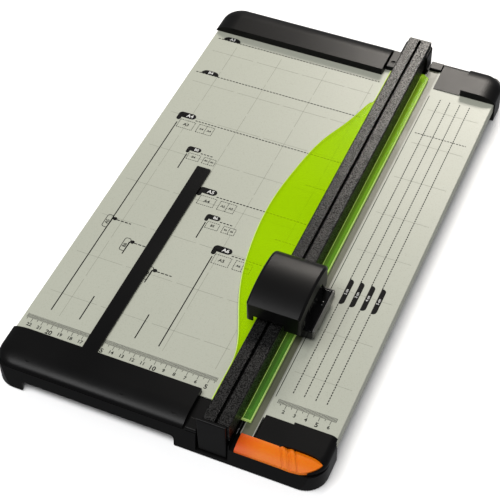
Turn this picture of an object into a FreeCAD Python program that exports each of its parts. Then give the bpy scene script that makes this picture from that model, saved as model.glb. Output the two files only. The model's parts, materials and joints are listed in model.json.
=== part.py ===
import FreeCAD, Part
import math
import os

os.makedirs("parts", exist_ok=True)

V = FreeCAD.Vector

# Rotary paper trimmer, in mm. The working frame has x = 0 on the cutting line, y = 0 on the
# paper stop and z = 0 on the deck top. SHIFT moves it to the centre of the footprint and the table.
SHIFT = V(79.3, -215.5, 25.2)

GAP = 0.3                # free gap between neighbouring pieces
FIT = 0.05               # radial clearance of a pin or shaft in its hole

# base
BASE_LEFT = -231.2
BASE_RIGHT = 72.6
TABLE = -25.2
BODY_BOTTOM = -24.0
BODY_TOP = -0.8
BODY_LOW_TOP = -6.2      # top of the front body under the right cover
BODY_WALL = 2.2
CORNER_R = 20.0
FRONT_TOP_Y = -39.8      # front face at its top edge
FRONT_FOOT_Y = -42.6     # front face at the bottom
REAR_TOP_Y = 470.8
REAR_FOOT_Y = 473.6
BODY_FRONT_INNER = -3.8
BODY_REAR_INNER = 434.6
FLANGE_DEPTH = 18.0
FLANGE_TOP = -1.4
FLANGE_BOTTOM = -11.5
FINGER_LEFT = -202.0     # finger recess along the foot of the front
FINGER_RIGHT = -58.0
FINGER_TOP = -13.2

# deck
DECK_LEFT = -229.6
DECK_RIGHT = 71.0
DECK_FRONT = -3.4
DECK_REAR = 434.2
SKIRT_DEPTH = 12.5
SHEET = 1.2
GROOVE_SHEET = 1.0
DECK_BOSS_R = 2.6
TONGUE_LEFT = -46.2      # the deck runs on between the rear covers
TONGUE_RIGHT = 8.0
TONGUE_REAR_LEFT = 440.6
TONGUE_REAR_RIGHT = 457.0
GROOVE_REAR = 449.4      # rear end of the pressed groove's floor

# mat channel and mat
CHANNEL_LEFT = -4.6
CHANNEL_RIGHT = 6.6
CHANNEL_WALL = 0.8
CHANNEL_DEPTH = 3.6
CHANNEL_FRONT = -24.8
CHANNEL_REAR = 456.6
MAT_THICK = 1.9
MAT_BELOW = 0.35         # mat top below the deck top
BEAM_LEFT = -22.0
BEAM_RIGHT = 24.0
BEAM_BOTTOM = -11.0

# end covers
COVER_WALL = 2.0
PILLOW = 19.5            # width of the rounded shoulder of a cover
FRONT_GUIDE = 5.6        # height of the paper stop
REAR_GUIDE = 8.0
COVER_BOTTOM = -0.6
FRONT_LEFT_COVER_END = -50.4
REAR_LEFT_COVER_END = -46.8
LOW_FRONT_TOP = 0.8      # low, so that the cutting head passes over
CORNER_FRONT_TOP = 3.2
CORNER_FRONT_X = 33.5
CORNER_ROLL = 7.0        # roll of the front corner cover's outer edge
LOW_REAR_TOP = 0.8
CORNER_REAR_X = 36.0
COVER_SEAM = 0.6         # open seam between the two rear covers on the right
BRIDGE_X = 8.4

# side gauge
GAUGE_X = -157.5
GAUGE_WIDE = 14.2
GAUGE_END = 239.0
GAUGE_BOTTOM = 0.3
GAUGE_TOP = 2.3
GAUGE_SLOT_LEFT = -227.0
GAUGE_SLOT_RIGHT = -54.0
GAUGE_SLOT_TOP = 2.8

# mat lock lever
LEVER_BOTTOM = -4.5
LEVER_PIN_X = -1.5
LEVER_PIN_Z = -3.0
LEVER_PIN_R = 1.0
LUG_R = 1.9
LEVER_TOP = 1.4
CROWN_R = 26.0
CROWN_Y = -29.0
LEVER_REAR_Y = -24.0     # nothing of the lever is behind this
LEVER_GRIPS = (33.0, 40.6)
LEVER_GROOVES = (30.0, 36.8, 43.6)
LUG_Y0 = -36.0
LUG_Y1 = -32.0

# rail
RAIL_LEFT = -32.2
RAIL_RIGHT = -8.4
RAIL_MID = (RAIL_LEFT + RAIL_RIGHT) / 2.0
RAIL_BOTTOM = 3.7
RAIL_TOP = 23.0
RAIL_FRONT = -37.6
RAIL_REAR = 470.0
RAIL_WALL = 2.0
GROOVE = 3.0
TEE_WIDE = 11.6
TEE_FLOOR = 15.4
TEE_ROOF = 19.6

# clamp plate
PLATE_BOTTOM = 0.6
PLATE_TOP = 3.5
PLATE_RIGHT = -0.1
PLATE_BEVEL = 0.8

# hinge
HINGE_Y = 460.0
HINGE_Z = -3.5
HINGE_PIN_R = 2.5
KNUCKLE_R = 6.0
KNUCKLE_LEFT = -34.6
KNUCKLE_RIGHT = -6.5
EAR_THICK = 1.2
EAR_GAP = 0.4

# carriage
CAP_LEFT = -41.8
CAP_RIGHT = 8.2
CAP_FRONT = 71.5
CAP_REAR = 143.2
CAP_BOTTOM = 18.8
CAP_OVER_RAIL = 26.6     # end walls stop here above the rail, clear of it when pressed
CAP_WALL = 2.2
CAP_ROUND = 3.0
CAP_BEVEL = 2.0
BLADE_Y = 109.0
BLADE_R = 14.0
BLADE_Z = 16.9
BLADE_X0 = 0.3
BLADE_X1 = 0.8
BLADE_BEVEL = 0.6
AXLE_R = 2.0
POSTS_Y = (90.0, 126.0)
POST_R = 2.0
SLIDER_BOTTOM = 23.4
SLIDER_TOP = 26.4
HOLDER_BOTTOM = 33.5
HOLDER_TOP = 36.0
BOX_RIGHT = 14.6
BOX_FRONT = 84.0
BOX_REAR = 134.0
BOX_BOTTOM = 4.4
BOX_TOP = 14.2
SHOULDER_RIGHT = 7.8


# feet, screws, pockets, latch, hinge and openings
FOOT_R = 8.0
FOOT_STUD_R = 3.0
FOOT_STUD = 5.0
FEET = (
    (BASE_LEFT + 19.0, -24.0),
    (BASE_RIGHT - 17.0, -24.0),
    (BASE_LEFT + 19.0, 455.0),
    (BASE_RIGHT - 17.0, 455.0),
)
FRONT_SCREWS = ((-200.0, -28.0), (-110.0, -28.0), (-62.0, -28.0))
FRONT_RIGHT_SCREWS = ((20.0, -14.0), (41.0, -14.0))
REAR_SCREWS = ((-200.0, 452.0), (-110.0, 452.0), (-58.0, 452.0))
REAR_RIGHT_SCREWS = ((22.0, 450.0), (43.0, 446.0))
DECK_SCREWS = ((-190.0, 5.0), (-60.0, 5.0), (50.0, 5.0), (-190.0, 426.0), (-60.0, 426.0), (50.0, 426.0))
SCREW_R = 1.5
BOSS_R = 3.6
RECESS_X0 = -38.2
RECESS_X1 = -9.2
RECESS_BACK = -26.0
RECESS_FLOOR = -20.6
HINGE_POCKET_FLOOR = -18.4
LEVER_OUTLINE = (
    (-3.2, -25.6), (31.0, -25.2), (45.0, -24.4), (56.0, -24.6), (64.0, -26.0), (69.2, -28.8),
    (64.5, -35.2), (57.0, -39.8), (49.0, -41.6), (38.0, -41.6), (-3.2, -41.6),
)
CLAMP_SCREWS_Y = (20.0, 125.0, 230.0, 335.0, 430.0)
END_SCREWS_X = (RAIL_MID - 7.0, RAIL_MID + 7.0)
FRONT_CAP_SCREW_Y = -22.0
REAR_CAP_SCREW_Y = 468.0
LATCH_Y = -31.0
LATCH_Z = -2.0
HINGE_SCREWS = ((-40.8, 449.0), (2.0, 463.0))
EAR_LEFT = KNUCKLE_LEFT - EAR_GAP - EAR_THICK
EAR_RIGHT = KNUCKLE_RIGHT + EAR_GAP + EAR_THICK
BRACKET_FLOOR = HINGE_POCKET_FLOOR + 0.1
PIN_HEAD = 1.2
PIN_HEAD_R = HINGE_PIN_R + 1.2
HINGE_COVER_TOP = 4.2
HINGE_SCREW_HEAD = 1.2
HINGE_SCREW_R = 2.3
LEG_LEFT = -5.0
LEG_RIGHT = -2.2
CAP_SCREWS = ((-30.0, 108.0), (-9.0, 108.0))
SIDE_OPENING = (
    (79.5, 10.0), (79.5, 24.0), (83.5, 30.5), (92.0, 33.0),
    (120.0, 33.2), (125.5, 30.0), (128.0, 24.0), (128.0, 10.0),
)
SHOULDER = (
    (85.0, 12.0), (85.0, 25.0), (88.5, 30.0), (94.0, 32.2),
    (119.0, 32.4), (124.0, 29.4), (126.5, 24.0), (126.5, 12.0),
)


def box(x0, x1, y0, y1, z0, z1):
    return Part.makeBox(x1 - x0, y1 - y0, z1 - z0, V(x0, y0, z0))


def rod_x(x0, x1, y, z, r):
    return Part.makeCylinder(r, x1 - x0, V(x0, y, z), V(1, 0, 0))


def rod_y(y0, y1, x, z, r):
    return Part.makeCylinder(r, y1 - y0, V(x, y0, z), V(0, 1, 0))


def rod_z(z0, z1, x, y, r):
    return Part.makeCylinder(r, z1 - z0, V(x, y, z0), V(0, 0, 1))


def face_of(points):
    return Part.Face(Part.makePolygon(points + [points[0]]))


def prism_x(yz, x0, x1):
    return face_of([V(x0, y, z) for y, z in yz]).extrude(V(x1 - x0, 0, 0))


def prism_y(xz, y0, y1):
    return face_of([V(x, y0, z) for x, z in xz]).extrude(V(0, y1 - y0, 0))


def prism_z(xy, z0, z1):
    return face_of([V(x, y, z0) for x, y in xy]).extrude(V(0, 0, z1 - z0))


def join(*shapes):
    solid = shapes[0]
    for other in shapes[1:]:
        solid = solid.fuse(other)
    return solid.removeSplitter()


def edges_where(shape, test):
    return [e for e in shape.Edges if test(e)]


def upright_at(x, y):
    def test(e):
        c = e.BoundBox
        flat = c.XLength < 0.01 and c.YLength < 0.01
        return flat and abs(c.XMin - x) < 0.05 and abs(c.YMin - y) < 0.05
    return test


def save(name, *solids):
    shape = Part.makeCompound(list(solids)) if len(solids) > 1 else solids[0]
    shape = shape.copy()
    shape.translate(SHIFT)
    shape.exportStep("parts/%s.step" % name)


def pillow(x0, x1, y0, y1, z0, z1, round_x, round_y, r, shoulder):
    """A block whose top rolls down over an elliptical shoulder along its outer long side,
    around its outer corner and along its outer end. round_x and round_y are the outer faces,
    and round_x is None for a piece that has no outer end."""
    lip = 0.2
    stretch = shoulder / (z1 - z0 - lip)
    tall = (z1 - z0) * stretch
    block = box(x0, x1, y0, y1, 0.0, tall)
    if round_x is not None:
        block = block.makeFillet(r, edges_where(block, upright_at(round_x, round_y)))

    def outer(e):
        c = e.BoundBox
        if c.ZMin < tall - 0.01:
            return False
        along = abs(c.YMin - round_y) < 0.01 and abs(c.YMax - round_y) < 0.01
        end = round_x is not None and abs(c.XMin - round_x) < 0.01 and abs(c.XMax - round_x) < 0.01
        arc = c.XLength > 0.5 and c.YLength > 0.5
        return along or end or arc

    block = block.makeFillet(shoulder, edges_where(block, outer))
    squeeze = FreeCAD.Matrix()
    squeeze.A33 = 1.0 / stretch
    block = block.transformGeometry(squeeze)
    block.translate(V(0, 0, z0))
    return block


def hollow_pillow(x0, x1, y0, y1, z0, z1, round_x, round_y):
    """A cover shell, open below."""
    skin = pillow(x0, x1, y0, y1, z0, z1, round_x, round_y, CORNER_R, PILLOW)
    t = COVER_WALL
    ry = round_y + t if round_y == y0 else round_y - t
    rx = None
    if round_x is not None:
        rx = round_x + t if round_x == x0 else round_x - t
    core = pillow(
        x0 + t, x1 - t, y0 + t, y1 - t, z0 - 1.0, z1 - t, rx, ry, CORNER_R - t, PILLOW - t
    )
    return skin.cut(core)


def screw(x, y, head_z, tip_z, r, head_r, head_h):
    """A pan head screw along z with a cross recess, its head on the head_z side."""
    up = tip_z > head_z
    z0, z1 = (head_z, tip_z) if up else (tip_z, head_z)
    shank = rod_z(z0, z1, x, y, r)
    h0 = head_z - head_h if up else head_z
    head = rod_z(h0, h0 + head_h, x, y, head_r)
    d0 = h0 - 0.1 if up else h0 + head_h * 0.4
    d1 = h0 + head_h * 0.6 if up else h0 + head_h + 0.1
    a = box(x - head_r * 0.6, x + head_r * 0.6, y - 0.4, y + 0.4, d0, d1)
    b = box(x - 0.4, x + 0.4, y - head_r * 0.6, y + head_r * 0.6, d0, d1)
    return join(shank, head).cut(a).cut(b)


def coil(centre, axis, length, radius, wire, turns):
    """A helical spring that starts at centre and runs along axis."""
    helix = Part.makeHelix(length / turns, length, radius)
    ring = Part.Wire(Part.makeCircle(wire, V(radius, 0, 0), V(0, 1, 0)))
    spring = Part.Wire(helix).makePipeShell([ring], True, True)
    spring = Part.Solid(spring) if spring.ShapeType == "Shell" else spring
    turn = FreeCAD.Rotation(V(0, 0, 1), axis)
    spring.Placement = FreeCAD.Placement(centre, turn)
    return spring


# ---------------------------------------------------------------- base

def rounded_plan(x0, x1, y0, y1, z0, z1, outer_y, r):
    block = box(x0, x1, y0, y1, z0, z1)
    corners = edges_where(
        block, lambda e: upright_at(x0, outer_y)(e) or upright_at(x1, outer_y)(e)
    )
    return block.makeFillet(r, corners)


def end_body_block(inset, top, x0, x1, outer_top, outer_foot, inner):
    """Drafted block of one end body, inset by a wall thickness on every upright side."""
    s = 1.0 if outer_foot > inner else -1.0
    yt = outer_top - s * inset
    yf = outer_foot - s * inset
    yi = inner + s * inset
    profile = prism_x([(yi, BODY_BOTTOM), (yf, BODY_BOTTOM), (yt, top), (yi, top)], x0, x1)
    plan = rounded_plan(
        BASE_LEFT + inset, BASE_RIGHT - inset, min(yi, yf), max(yi, yf),
        BODY_BOTTOM, top, yf, CORNER_R - inset
    )
    return profile.common(plan)


def foot_boss(x, y, top):
    boss = rod_z(BODY_BOTTOM, top, x, y, FOOT_R + 1.2)
    return boss.cut(rod_z(BODY_BOTTOM - 1, BODY_BOTTOM + FOOT_STUD + 1.0, x, y, FOOT_STUD_R + FIT))


def groove_way(y0, y1):
    side = 0.1 + GROOVE_SHEET + GAP
    return box(CHANNEL_LEFT - side, CHANNEL_RIGHT + side, y0, y1, -CHANNEL_DEPTH - side, 5.0)


def front_body():
    split = -8.4
    left = end_body_block(0, BODY_TOP, BASE_LEFT, split, FRONT_TOP_Y, FRONT_FOOT_Y, BODY_FRONT_INNER)
    low_top_y = FRONT_TOP_Y - 0.6
    right = end_body_block(0, BODY_LOW_TOP, split, BASE_RIGHT, low_top_y, FRONT_FOOT_Y, BODY_FRONT_INNER)
    left_core = end_body_block(
        BODY_WALL, BODY_TOP - BODY_WALL, BASE_LEFT, split + 0.1, FRONT_TOP_Y, FRONT_FOOT_Y, BODY_FRONT_INNER
    )
    right_core = end_body_block(
        BODY_WALL, BODY_LOW_TOP - BODY_WALL, split - 0.1, BASE_RIGHT, low_top_y, FRONT_FOOT_Y,
        BODY_FRONT_INNER
    )
    body = join(left, right).cut(left_core).cut(right_core)
    # pocket for the rail's front end
    pocket_skin = box(
        RECESS_X0 - BODY_WALL, RECESS_X1 + BODY_WALL, FRONT_TOP_Y, RECESS_BACK + BODY_WALL,
        RECESS_FLOOR - BODY_WALL, BODY_LOW_TOP
    )
    pocket = box(RECESS_X0, RECESS_X1, FRONT_FOOT_Y - 5, RECESS_BACK, RECESS_FLOOR, 5.0)
    # strip under the deck edge that carries the deck, open where the mat channel passes
    flange = box(DECK_LEFT + 2.0, DECK_RIGHT - 2.0, BODY_FRONT_INNER - 1.0, BODY_FRONT_INNER + FLANGE_DEPTH,
                 FLANGE_BOTTOM, FLANGE_TOP)
    flange = flange.cut(box(DECK_LEFT + 4.2, DECK_RIGHT - 4.2, BODY_FRONT_INNER - 2.0,
                            BODY_FRONT_INNER + FLANGE_DEPTH - 2.0, FLANGE_BOTTOM - 1, FLANGE_TOP - 2.0))
    flange = flange.cut(groove_way(-10, 30))
    ledge = box(CHANNEL_LEFT, CHANNEL_RIGHT, CHANNEL_FRONT + 1.0, BODY_FRONT_INNER - 1.0,
                BODY_LOW_TOP - 1.0, -CHANNEL_DEPTH - 0.1)
    lug = join(
        rod_y(LUG_Y0, LUG_Y1, LEVER_PIN_X, LEVER_PIN_Z, LUG_R),
        box(LEVER_PIN_X - 1.0, LEVER_PIN_X + 1.0, LUG_Y0, LUG_Y1, BODY_LOW_TOP - 0.5, LEVER_PIN_Z),
    )
    body = join(body, pocket_skin, flange, lug, ledge).cut(pocket)
    body = body.cut(rod_y(LUG_Y0 - 1, LUG_Y1 + 1, LEVER_PIN_X, LEVER_PIN_Z, LEVER_PIN_R + FIT))
    # latch keeper: a lip at the back of the pocket that the latch hook catches
    body = join(body, box(RECESS_X0 + 8, RECESS_X1 - 8, RECESS_BACK - 2.6, RECESS_BACK + 1.0, -13.0, -9.0))
    # finger recess along the bottom of the front face
    recess = box(FINGER_LEFT, FINGER_RIGHT, FRONT_FOOT_Y - 5, FRONT_TOP_Y + 6.0, BODY_BOTTOM - 1, FINGER_TOP)
    corners = edges_where(recess, lambda e: e.BoundBox.YLength > 1 and e.BoundBox.ZMin > FINGER_TOP - 0.1)
    body = body.cut(recess.makeFillet(4.0, corners))
    for x, y in FEET[:2]:
        top = BODY_TOP - 1.0 if x < 0 else BODY_LOW_TOP - 1.0
        body = join(body, foot_boss(x, y, top))
    for x, y in FRONT_SCREWS + FRONT_RIGHT_SCREWS:
        body = body.cut(rod_z(BODY_LOW_TOP - 5, 3, x, y, SCREW_R + FIT))
    for x, y in DECK_SCREWS[:3]:
        body = body.cut(rod_z(FLANGE_BOTTOM - 1, 3, x, y, SCREW_R + FIT))
        body = body.cut(rod_z(-3.1, 3, x, y, DECK_BOSS_R + FIT))
    return body


def rear_body():
    body = end_body_block(0, BODY_TOP, BASE_LEFT, BASE_RIGHT, REAR_TOP_Y, REAR_FOOT_Y, BODY_REAR_INNER)
    core = end_body_block(
        BODY_WALL, BODY_TOP - BODY_WALL, BASE_LEFT, BASE_RIGHT, REAR_TOP_Y, REAR_FOOT_Y, BODY_REAR_INNER
    )
    body = body.cut(core)
    x0 = TONGUE_LEFT - 0.4
    x1 = BRIDGE_X
    skin = box(x0 - BODY_WALL, x1 + BODY_WALL, BODY_REAR_INNER + 5, REAR_TOP_Y,
               HINGE_POCKET_FLOOR - BODY_WALL, BODY_TOP)
    pocket = box(x0, x1, BODY_REAR_INNER + 5 + BODY_WALL, REAR_TOP_Y - BODY_WALL, HINGE_POCKET_FLOOR, 5)
    way_out = box(KNUCKLE_LEFT - 0.8, KNUCKLE_RIGHT + 0.8, REAR_TOP_Y - 5, REAR_FOOT_Y + 5,
                  HINGE_POCKET_FLOOR, 5)
    flange = box(DECK_LEFT + 2.0, DECK_RIGHT - 2.0, BODY_REAR_INNER - FLANGE_DEPTH, BODY_REAR_INNER + 1.0,
                 FLANGE_BOTTOM, FLANGE_TOP)
    flange = flange.cut(box(DECK_LEFT + 4.2, DECK_RIGHT - 4.2, BODY_REAR_INNER - FLANGE_DEPTH + 2.0,
                            BODY_REAR_INNER + 2.0, FLANGE_BOTTOM - 1, FLANGE_TOP - 2.0))
    # the deck tongue and the mat channel run back into the hinge pocket
    tongue_way = box(x0, x1, BODY_REAR_INNER - 30, BODY_REAR_INNER + 15, FLANGE_TOP, 5)
    channel_way = groove_way(BODY_REAR_INNER - 30, BODY_REAR_INNER + 15)
    body = join(body, skin, flange).cut(pocket).cut(way_out).cut(tongue_way).cut(channel_way)
    for x, y in FEET[2:]:
        body = join(body, foot_boss(x, y, BODY_TOP - 1.0))
    for x, y in REAR_SCREWS + REAR_RIGHT_SCREWS:
        body = body.cut(rod_z(BODY_LOW_TOP, 3, x, y, SCREW_R + FIT))
    for x, y in DECK_SCREWS[3:]:
        body = body.cut(rod_z(FLANGE_BOTTOM - 1, 3, x, y, SCREW_R + FIT))
        body = body.cut(rod_z(-3.1, 3, x, y, DECK_BOSS_R + FIT))
    for x, y in HINGE_SCREWS:
        body = body.cut(rod_z(HINGE_POCKET_FLOOR - 5, HINGE_POCKET_FLOOR + 1, x, y, SCREW_R + FIT))
    return body


def deck_groove(y0, y1):
    """Pressed groove of the deck sheet that the mat channel lies in."""
    x0 = CHANNEL_LEFT - 0.1
    x1 = CHANNEL_RIGHT + 0.1
    outer = box(x0 - GROOVE_SHEET, x1 + GROOVE_SHEET, y0, y1, -CHANNEL_DEPTH - 0.1 - GROOVE_SHEET, 0)
    return outer.cut(box(x0, x1, y0 - 1, y1 + 1, -CHANNEL_DEPTH - 0.1, 1))


def deck_plate():
    plate = box(DECK_LEFT, DECK_RIGHT, DECK_FRONT, DECK_REAR, -SHEET, 0)
    tongue = box(TONGUE_LEFT, TONGUE_RIGHT, DECK_REAR - 1, TONGUE_REAR_LEFT, -SHEET, 0)
    skirt_left = box(DECK_LEFT, DECK_LEFT + SHEET, DECK_FRONT, DECK_REAR, -SKIRT_DEPTH, 0)
    skirt_right = box(DECK_RIGHT - SHEET, DECK_RIGHT, DECK_FRONT, DECK_REAR, -SKIRT_DEPTH, 0)
    plate = join(plate, tongue, skirt_left, skirt_right)
    corners = edges_where(
        plate,
        lambda e: e.BoundBox.YLength > 300 and e.BoundBox.ZMin > -0.01
        and (e.BoundBox.XMax < DECK_LEFT + 0.01 or e.BoundBox.XMin > DECK_RIGHT - 0.01),
    )
    plate = plate.makeFillet(0.8, corners)
    plate = plate.cut(box(CHANNEL_LEFT - 0.1, CHANNEL_RIGHT + 0.1, -10, 470, -5, 1))
    right_strip = box(CHANNEL_RIGHT + 0.1, TONGUE_RIGHT, DECK_REAR, TONGUE_REAR_RIGHT, -SHEET, 0)
    plate = join(plate, deck_groove(DECK_FRONT, GROOVE_REAR), right_strip)
    for x, y in DECK_SCREWS:
        boss = rod_z(-3.0, -SHEET + 0.2, x, y, DECK_BOSS_R)
        plate = join(plate, boss).cut(rod_z(-4.0, -0.5, x, y, SCREW_R + FIT))
    return plate


def mat_channel():
    outer = box(CHANNEL_LEFT, CHANNEL_RIGHT, CHANNEL_FRONT, CHANNEL_REAR, -CHANNEL_DEPTH, 0)
    inner = box(
        CHANNEL_LEFT + CHANNEL_WALL, CHANNEL_RIGHT - CHANNEL_WALL, CHANNEL_FRONT - 1, CHANNEL_REAR + 1,
        -MAT_BELOW - MAT_THICK - 0.05, 1
    )
    return outer.cut(inner)


def cutting_mat():
    return box(
        CHANNEL_LEFT + CHANNEL_WALL + 0.1, CHANNEL_RIGHT - CHANNEL_WALL - 0.1,
        CHANNEL_FRONT, CHANNEL_REAR, -MAT_BELOW - MAT_THICK, -MAT_BELOW
    )


def mat_support_beam():
    y0 = BODY_FRONT_INNER + FLANGE_DEPTH + 1.0
    y1 = BODY_REAR_INNER - FLANGE_DEPTH - 1.0
    top = -CHANNEL_DEPTH - 0.2 - GROOVE_SHEET
    beam = box(BEAM_LEFT, BEAM_RIGHT, y0, y1, BEAM_BOTTOM, top)
    beam = beam.cut(box(BEAM_LEFT + SHEET, BEAM_RIGHT - SHEET, y0 - 1, y1 + 1, BEAM_BOTTOM - 1, top - SHEET))
    left = box(BEAM_LEFT, BEAM_LEFT + SHEET, y0, y1, BEAM_BOTTOM, -SHEET - 0.1)
    right = box(BEAM_RIGHT - SHEET, BEAM_RIGHT, y0, y1, BEAM_BOTTOM, -SHEET - 0.1)
    return join(beam, left, right)


def cover_bosses(cover, spots, top, z0):
    for x, y in spots:
        cover = join(cover, rod_z(z0, top, x, y, BOSS_R)).cut(rod_z(z0 - 1, top - 1.0, x, y, SCREW_R + FIT))
    return cover


def front_cover_left():
    cover = hollow_pillow(
        BASE_LEFT, FRONT_LEFT_COVER_END, FRONT_TOP_Y + 0.6, 0.0, COVER_BOTTOM, FRONT_GUIDE,
        BASE_LEFT, FRONT_TOP_Y + 0.6
    )
    cover = cover.cut(box(GAUGE_SLOT_LEFT, GAUGE_SLOT_RIGHT, -COVER_WALL - 0.5, 1, -2, GAUGE_SLOT_TOP))
    over_deck = box(BASE_LEFT - 1, 0, DECK_FRONT - GAP, 1, -2, 0.15)
    return cover_bosses(cover.cut(over_deck), FRONT_SCREWS, FRONT_GUIDE - 1.0, COVER_BOTTOM)


def grown_curve(points, z, grow):
    """A smooth curve through the points, moved to its right by a clearance."""
    curve = Part.BSplineCurve()
    curve.interpolate([V(x, y, z) for x, y in points])
    if not grow:
        return curve.toShape()
    steps = 10
    first, last = curve.FirstParameter, curve.LastParameter
    moved = []
    for i in range(steps + 1):
        u = first + (last - first) * i / steps
        along = curve.tangent(u)[0]
        moved.append(curve.value(u) + V(along.y, -along.x, 0) * grow)
    grown = Part.BSplineCurve()
    grown.interpolate(moved)
    return grown.toShape()


def lever_plan(grow, z0, z1):
    """The leaf shape of the lever, grown all round by a clearance."""
    front = grown_curve(LEVER_OUTLINE[9:4:-1], z0, grow)
    rear = grown_curve(LEVER_OUTLINE[5:0:-1], z0, grow)
    left = LEVER_OUTLINE[0][0] - grow
    start = front.Vertexes[0].Point
    end = rear.Vertexes[-1].Point
    edges = [front]
    if grow:
        edges.append(Part.makeLine(front.Vertexes[-1].Point, rear.Vertexes[0].Point))
    edges.append(rear)
    edges += Part.makePolygon([end, V(left, end.y, z0), V(left, start.y, z0), start]).Edges
    return Part.Face(Part.Wire(edges)).extrude(V(0, 0, z1 - z0))


def front_cover_right():
    """Corner cover with a low flat part beside the rail, cut away around the lever."""
    y0 = FRONT_TOP_Y - 0.8
    x0 = CHANNEL_RIGHT + GAP
    z0 = BODY_LOW_TOP + 0.2
    cover = box(x0, BASE_RIGHT, y0, 0.0, z0, CORNER_FRONT_TOP)
    cover = cover.makeFillet(CORNER_R, edges_where(cover, upright_at(BASE_RIGHT, y0)))

    def outer(e):
        c = e.BoundBox
        side = abs(c.XMin - BASE_RIGHT) < 0.01 and abs(c.XMax - BASE_RIGHT) < 0.01
        return c.ZMin > CORNER_FRONT_TOP - 0.01 and (side or c.YMin < y0 + 0.01)

    cover = cover.makeFillet(CORNER_ROLL, edges_where(cover, outer))
    cover = cover.cut(box(x0 - 1, CORNER_FRONT_X, y0 - 1, 1, LOW_FRONT_TOP, 10))
    back = DECK_FRONT - GAP
    floor = z0 - 1
    inner = LEVER_REAR_Y + COVER_WALL
    low_core = box(x0 + COVER_WALL, CORNER_FRONT_X + 1, inner, back - COVER_WALL, floor, LOW_FRONT_TOP - 1.6)
    high_core = box(CORNER_FRONT_X, BASE_RIGHT - CORNER_ROLL, inner, back - COVER_WALL, floor,
                    CORNER_FRONT_TOP - COVER_WALL)
    cover = cover.cut(low_core).cut(high_core)
    cover = cover.cut(lever_plan(GAP + 0.1, floor, 10))
    cover = cover.cut(box(x0 - 1, 60.0, y0 - 1, LEVER_REAR_Y - 14.0, floor, 10))
    cover = cover.cut(box(x0 - 1, BASE_RIGHT + 1, back, 1, floor, 0.15))
    cover = cover.cut(box(x0 - 1, BASE_RIGHT + 1, BODY_FRONT_INNER - 1.0 - GAP, 1, floor, FLANGE_TOP + GAP))
    cover = cover.cut(box(x0 - 1, CORNER_FRONT_X, -0.6, 1, floor, 10))
    cover = cover_bosses(cover, FRONT_RIGHT_SCREWS[:1], LOW_FRONT_TOP - 0.6, z0)
    return cover_bosses(cover, FRONT_RIGHT_SCREWS[1:], CORNER_FRONT_TOP - 1.0, z0)


def lever_crown(rise):
    """A long drum whose top is the lever's top, rolling down towards its front edge."""
    return rod_x(-12.0, BASE_RIGHT, CROWN_Y, LEVER_TOP - CROWN_R, CROWN_R + rise)


def across_lever(x, half, z0, z1):
    """A slanted strip across the lever, x at its rear end."""
    lean = 10.0
    return prism_z([(x - half, LEVER_REAR_Y), (x + half, LEVER_REAR_Y), (x + half + lean, -43.0),
                    (x - half + lean, -43.0)], z0, z1)


def mat_lock_lever():
    plan = lever_plan(0, LEVER_BOTTOM, 6.0)
    lever = plan.common(lever_crown(0.0))
    for x in LEVER_GRIPS:
        for half, rise in ((1.9, 0.5), (1.2, 0.9)):
            grip = across_lever(x, half, LEVER_BOTTOM + 1.0, 6.0).common(lever_crown(rise))
            lever = lever.fuse(grip.common(plan))
    for x in LEVER_GROOVES:
        groove = across_lever(x, 0.7, LEVER_BOTTOM + 1.0, 6.0).cut(lever_crown(-0.7))
        lever = lever.cut(groove)
    lug_top = LEVER_PIN_Z + LUG_R + GAP
    lever = lever.cut(box(-6.0, LEVER_PIN_X + 4.0, LUG_Y0 - 0.5, LUG_Y1 + 0.5, -10, lug_top))
    lever = lever.cut(rod_y(-41.0, -29.0, LEVER_PIN_X, LEVER_PIN_Z, LEVER_PIN_R + 0.02))
    return lever.removeSplitter()


def mat_lock_pin():
    return rod_y(-40.6, -30.2, LEVER_PIN_X, LEVER_PIN_Z, LEVER_PIN_R)


def rear_cover_left():
    cover = hollow_pillow(
        BASE_LEFT, REAR_LEFT_COVER_END, 431.0, REAR_TOP_Y - 0.6, COVER_BOTTOM, REAR_GUIDE,
        BASE_LEFT, REAR_TOP_Y - 0.6
    )
    cover = cover.cut(box(BASE_LEFT - 1, 0, 430, DECK_REAR + GAP, -2, 0.15))
    return cover_bosses(cover, REAR_SCREWS, REAR_GUIDE - 1.0, COVER_BOTTOM)


def rear_bridge_cover():
    x1 = CORNER_REAR_X - COVER_SEAM
    y1 = REAR_TOP_Y - 0.6
    cover = pillow(BRIDGE_X, x1, 431.0, y1, COVER_BOTTOM, LOW_REAR_TOP, None, y1, 0, 6.0)
    cover = cover.cut(box(BRIDGE_X + 1.6, x1 - 1.6, 436.0, REAR_TOP_Y - 4.0, -2, 0.2))
    cover = cover.cut(box(BRIDGE_X - 1, x1 + 1, 430, DECK_REAR + GAP, -2, 0.15))
    return cover_bosses(cover, REAR_RIGHT_SCREWS[:1], LOW_REAR_TOP - 0.4, COVER_BOTTOM)


def rear_cover_right():
    cover = hollow_pillow(
        CORNER_REAR_X, BASE_RIGHT, 431.0, REAR_TOP_Y - 0.6, COVER_BOTTOM, REAR_GUIDE,
        BASE_RIGHT, REAR_TOP_Y - 0.6
    )
    cover = cover.cut(box(CORNER_REAR_X - 1, BASE_RIGHT + 1, 430, DECK_REAR + GAP, -2, 0.15))
    return cover_bosses(cover, REAR_RIGHT_SCREWS[1:], REAR_GUIDE - 1.0, COVER_BOTTOM)


def rubber_feet():
    feet = []
    for x, y in FEET:
        pad = rod_z(TABLE, BODY_BOTTOM, x, y, FOOT_R)
        stud = rod_z(BODY_BOTTOM - 0.2, BODY_BOTTOM + FOOT_STUD, x, y, FOOT_STUD_R)
        feet.append(join(pad, stud))
    return feet


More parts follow.
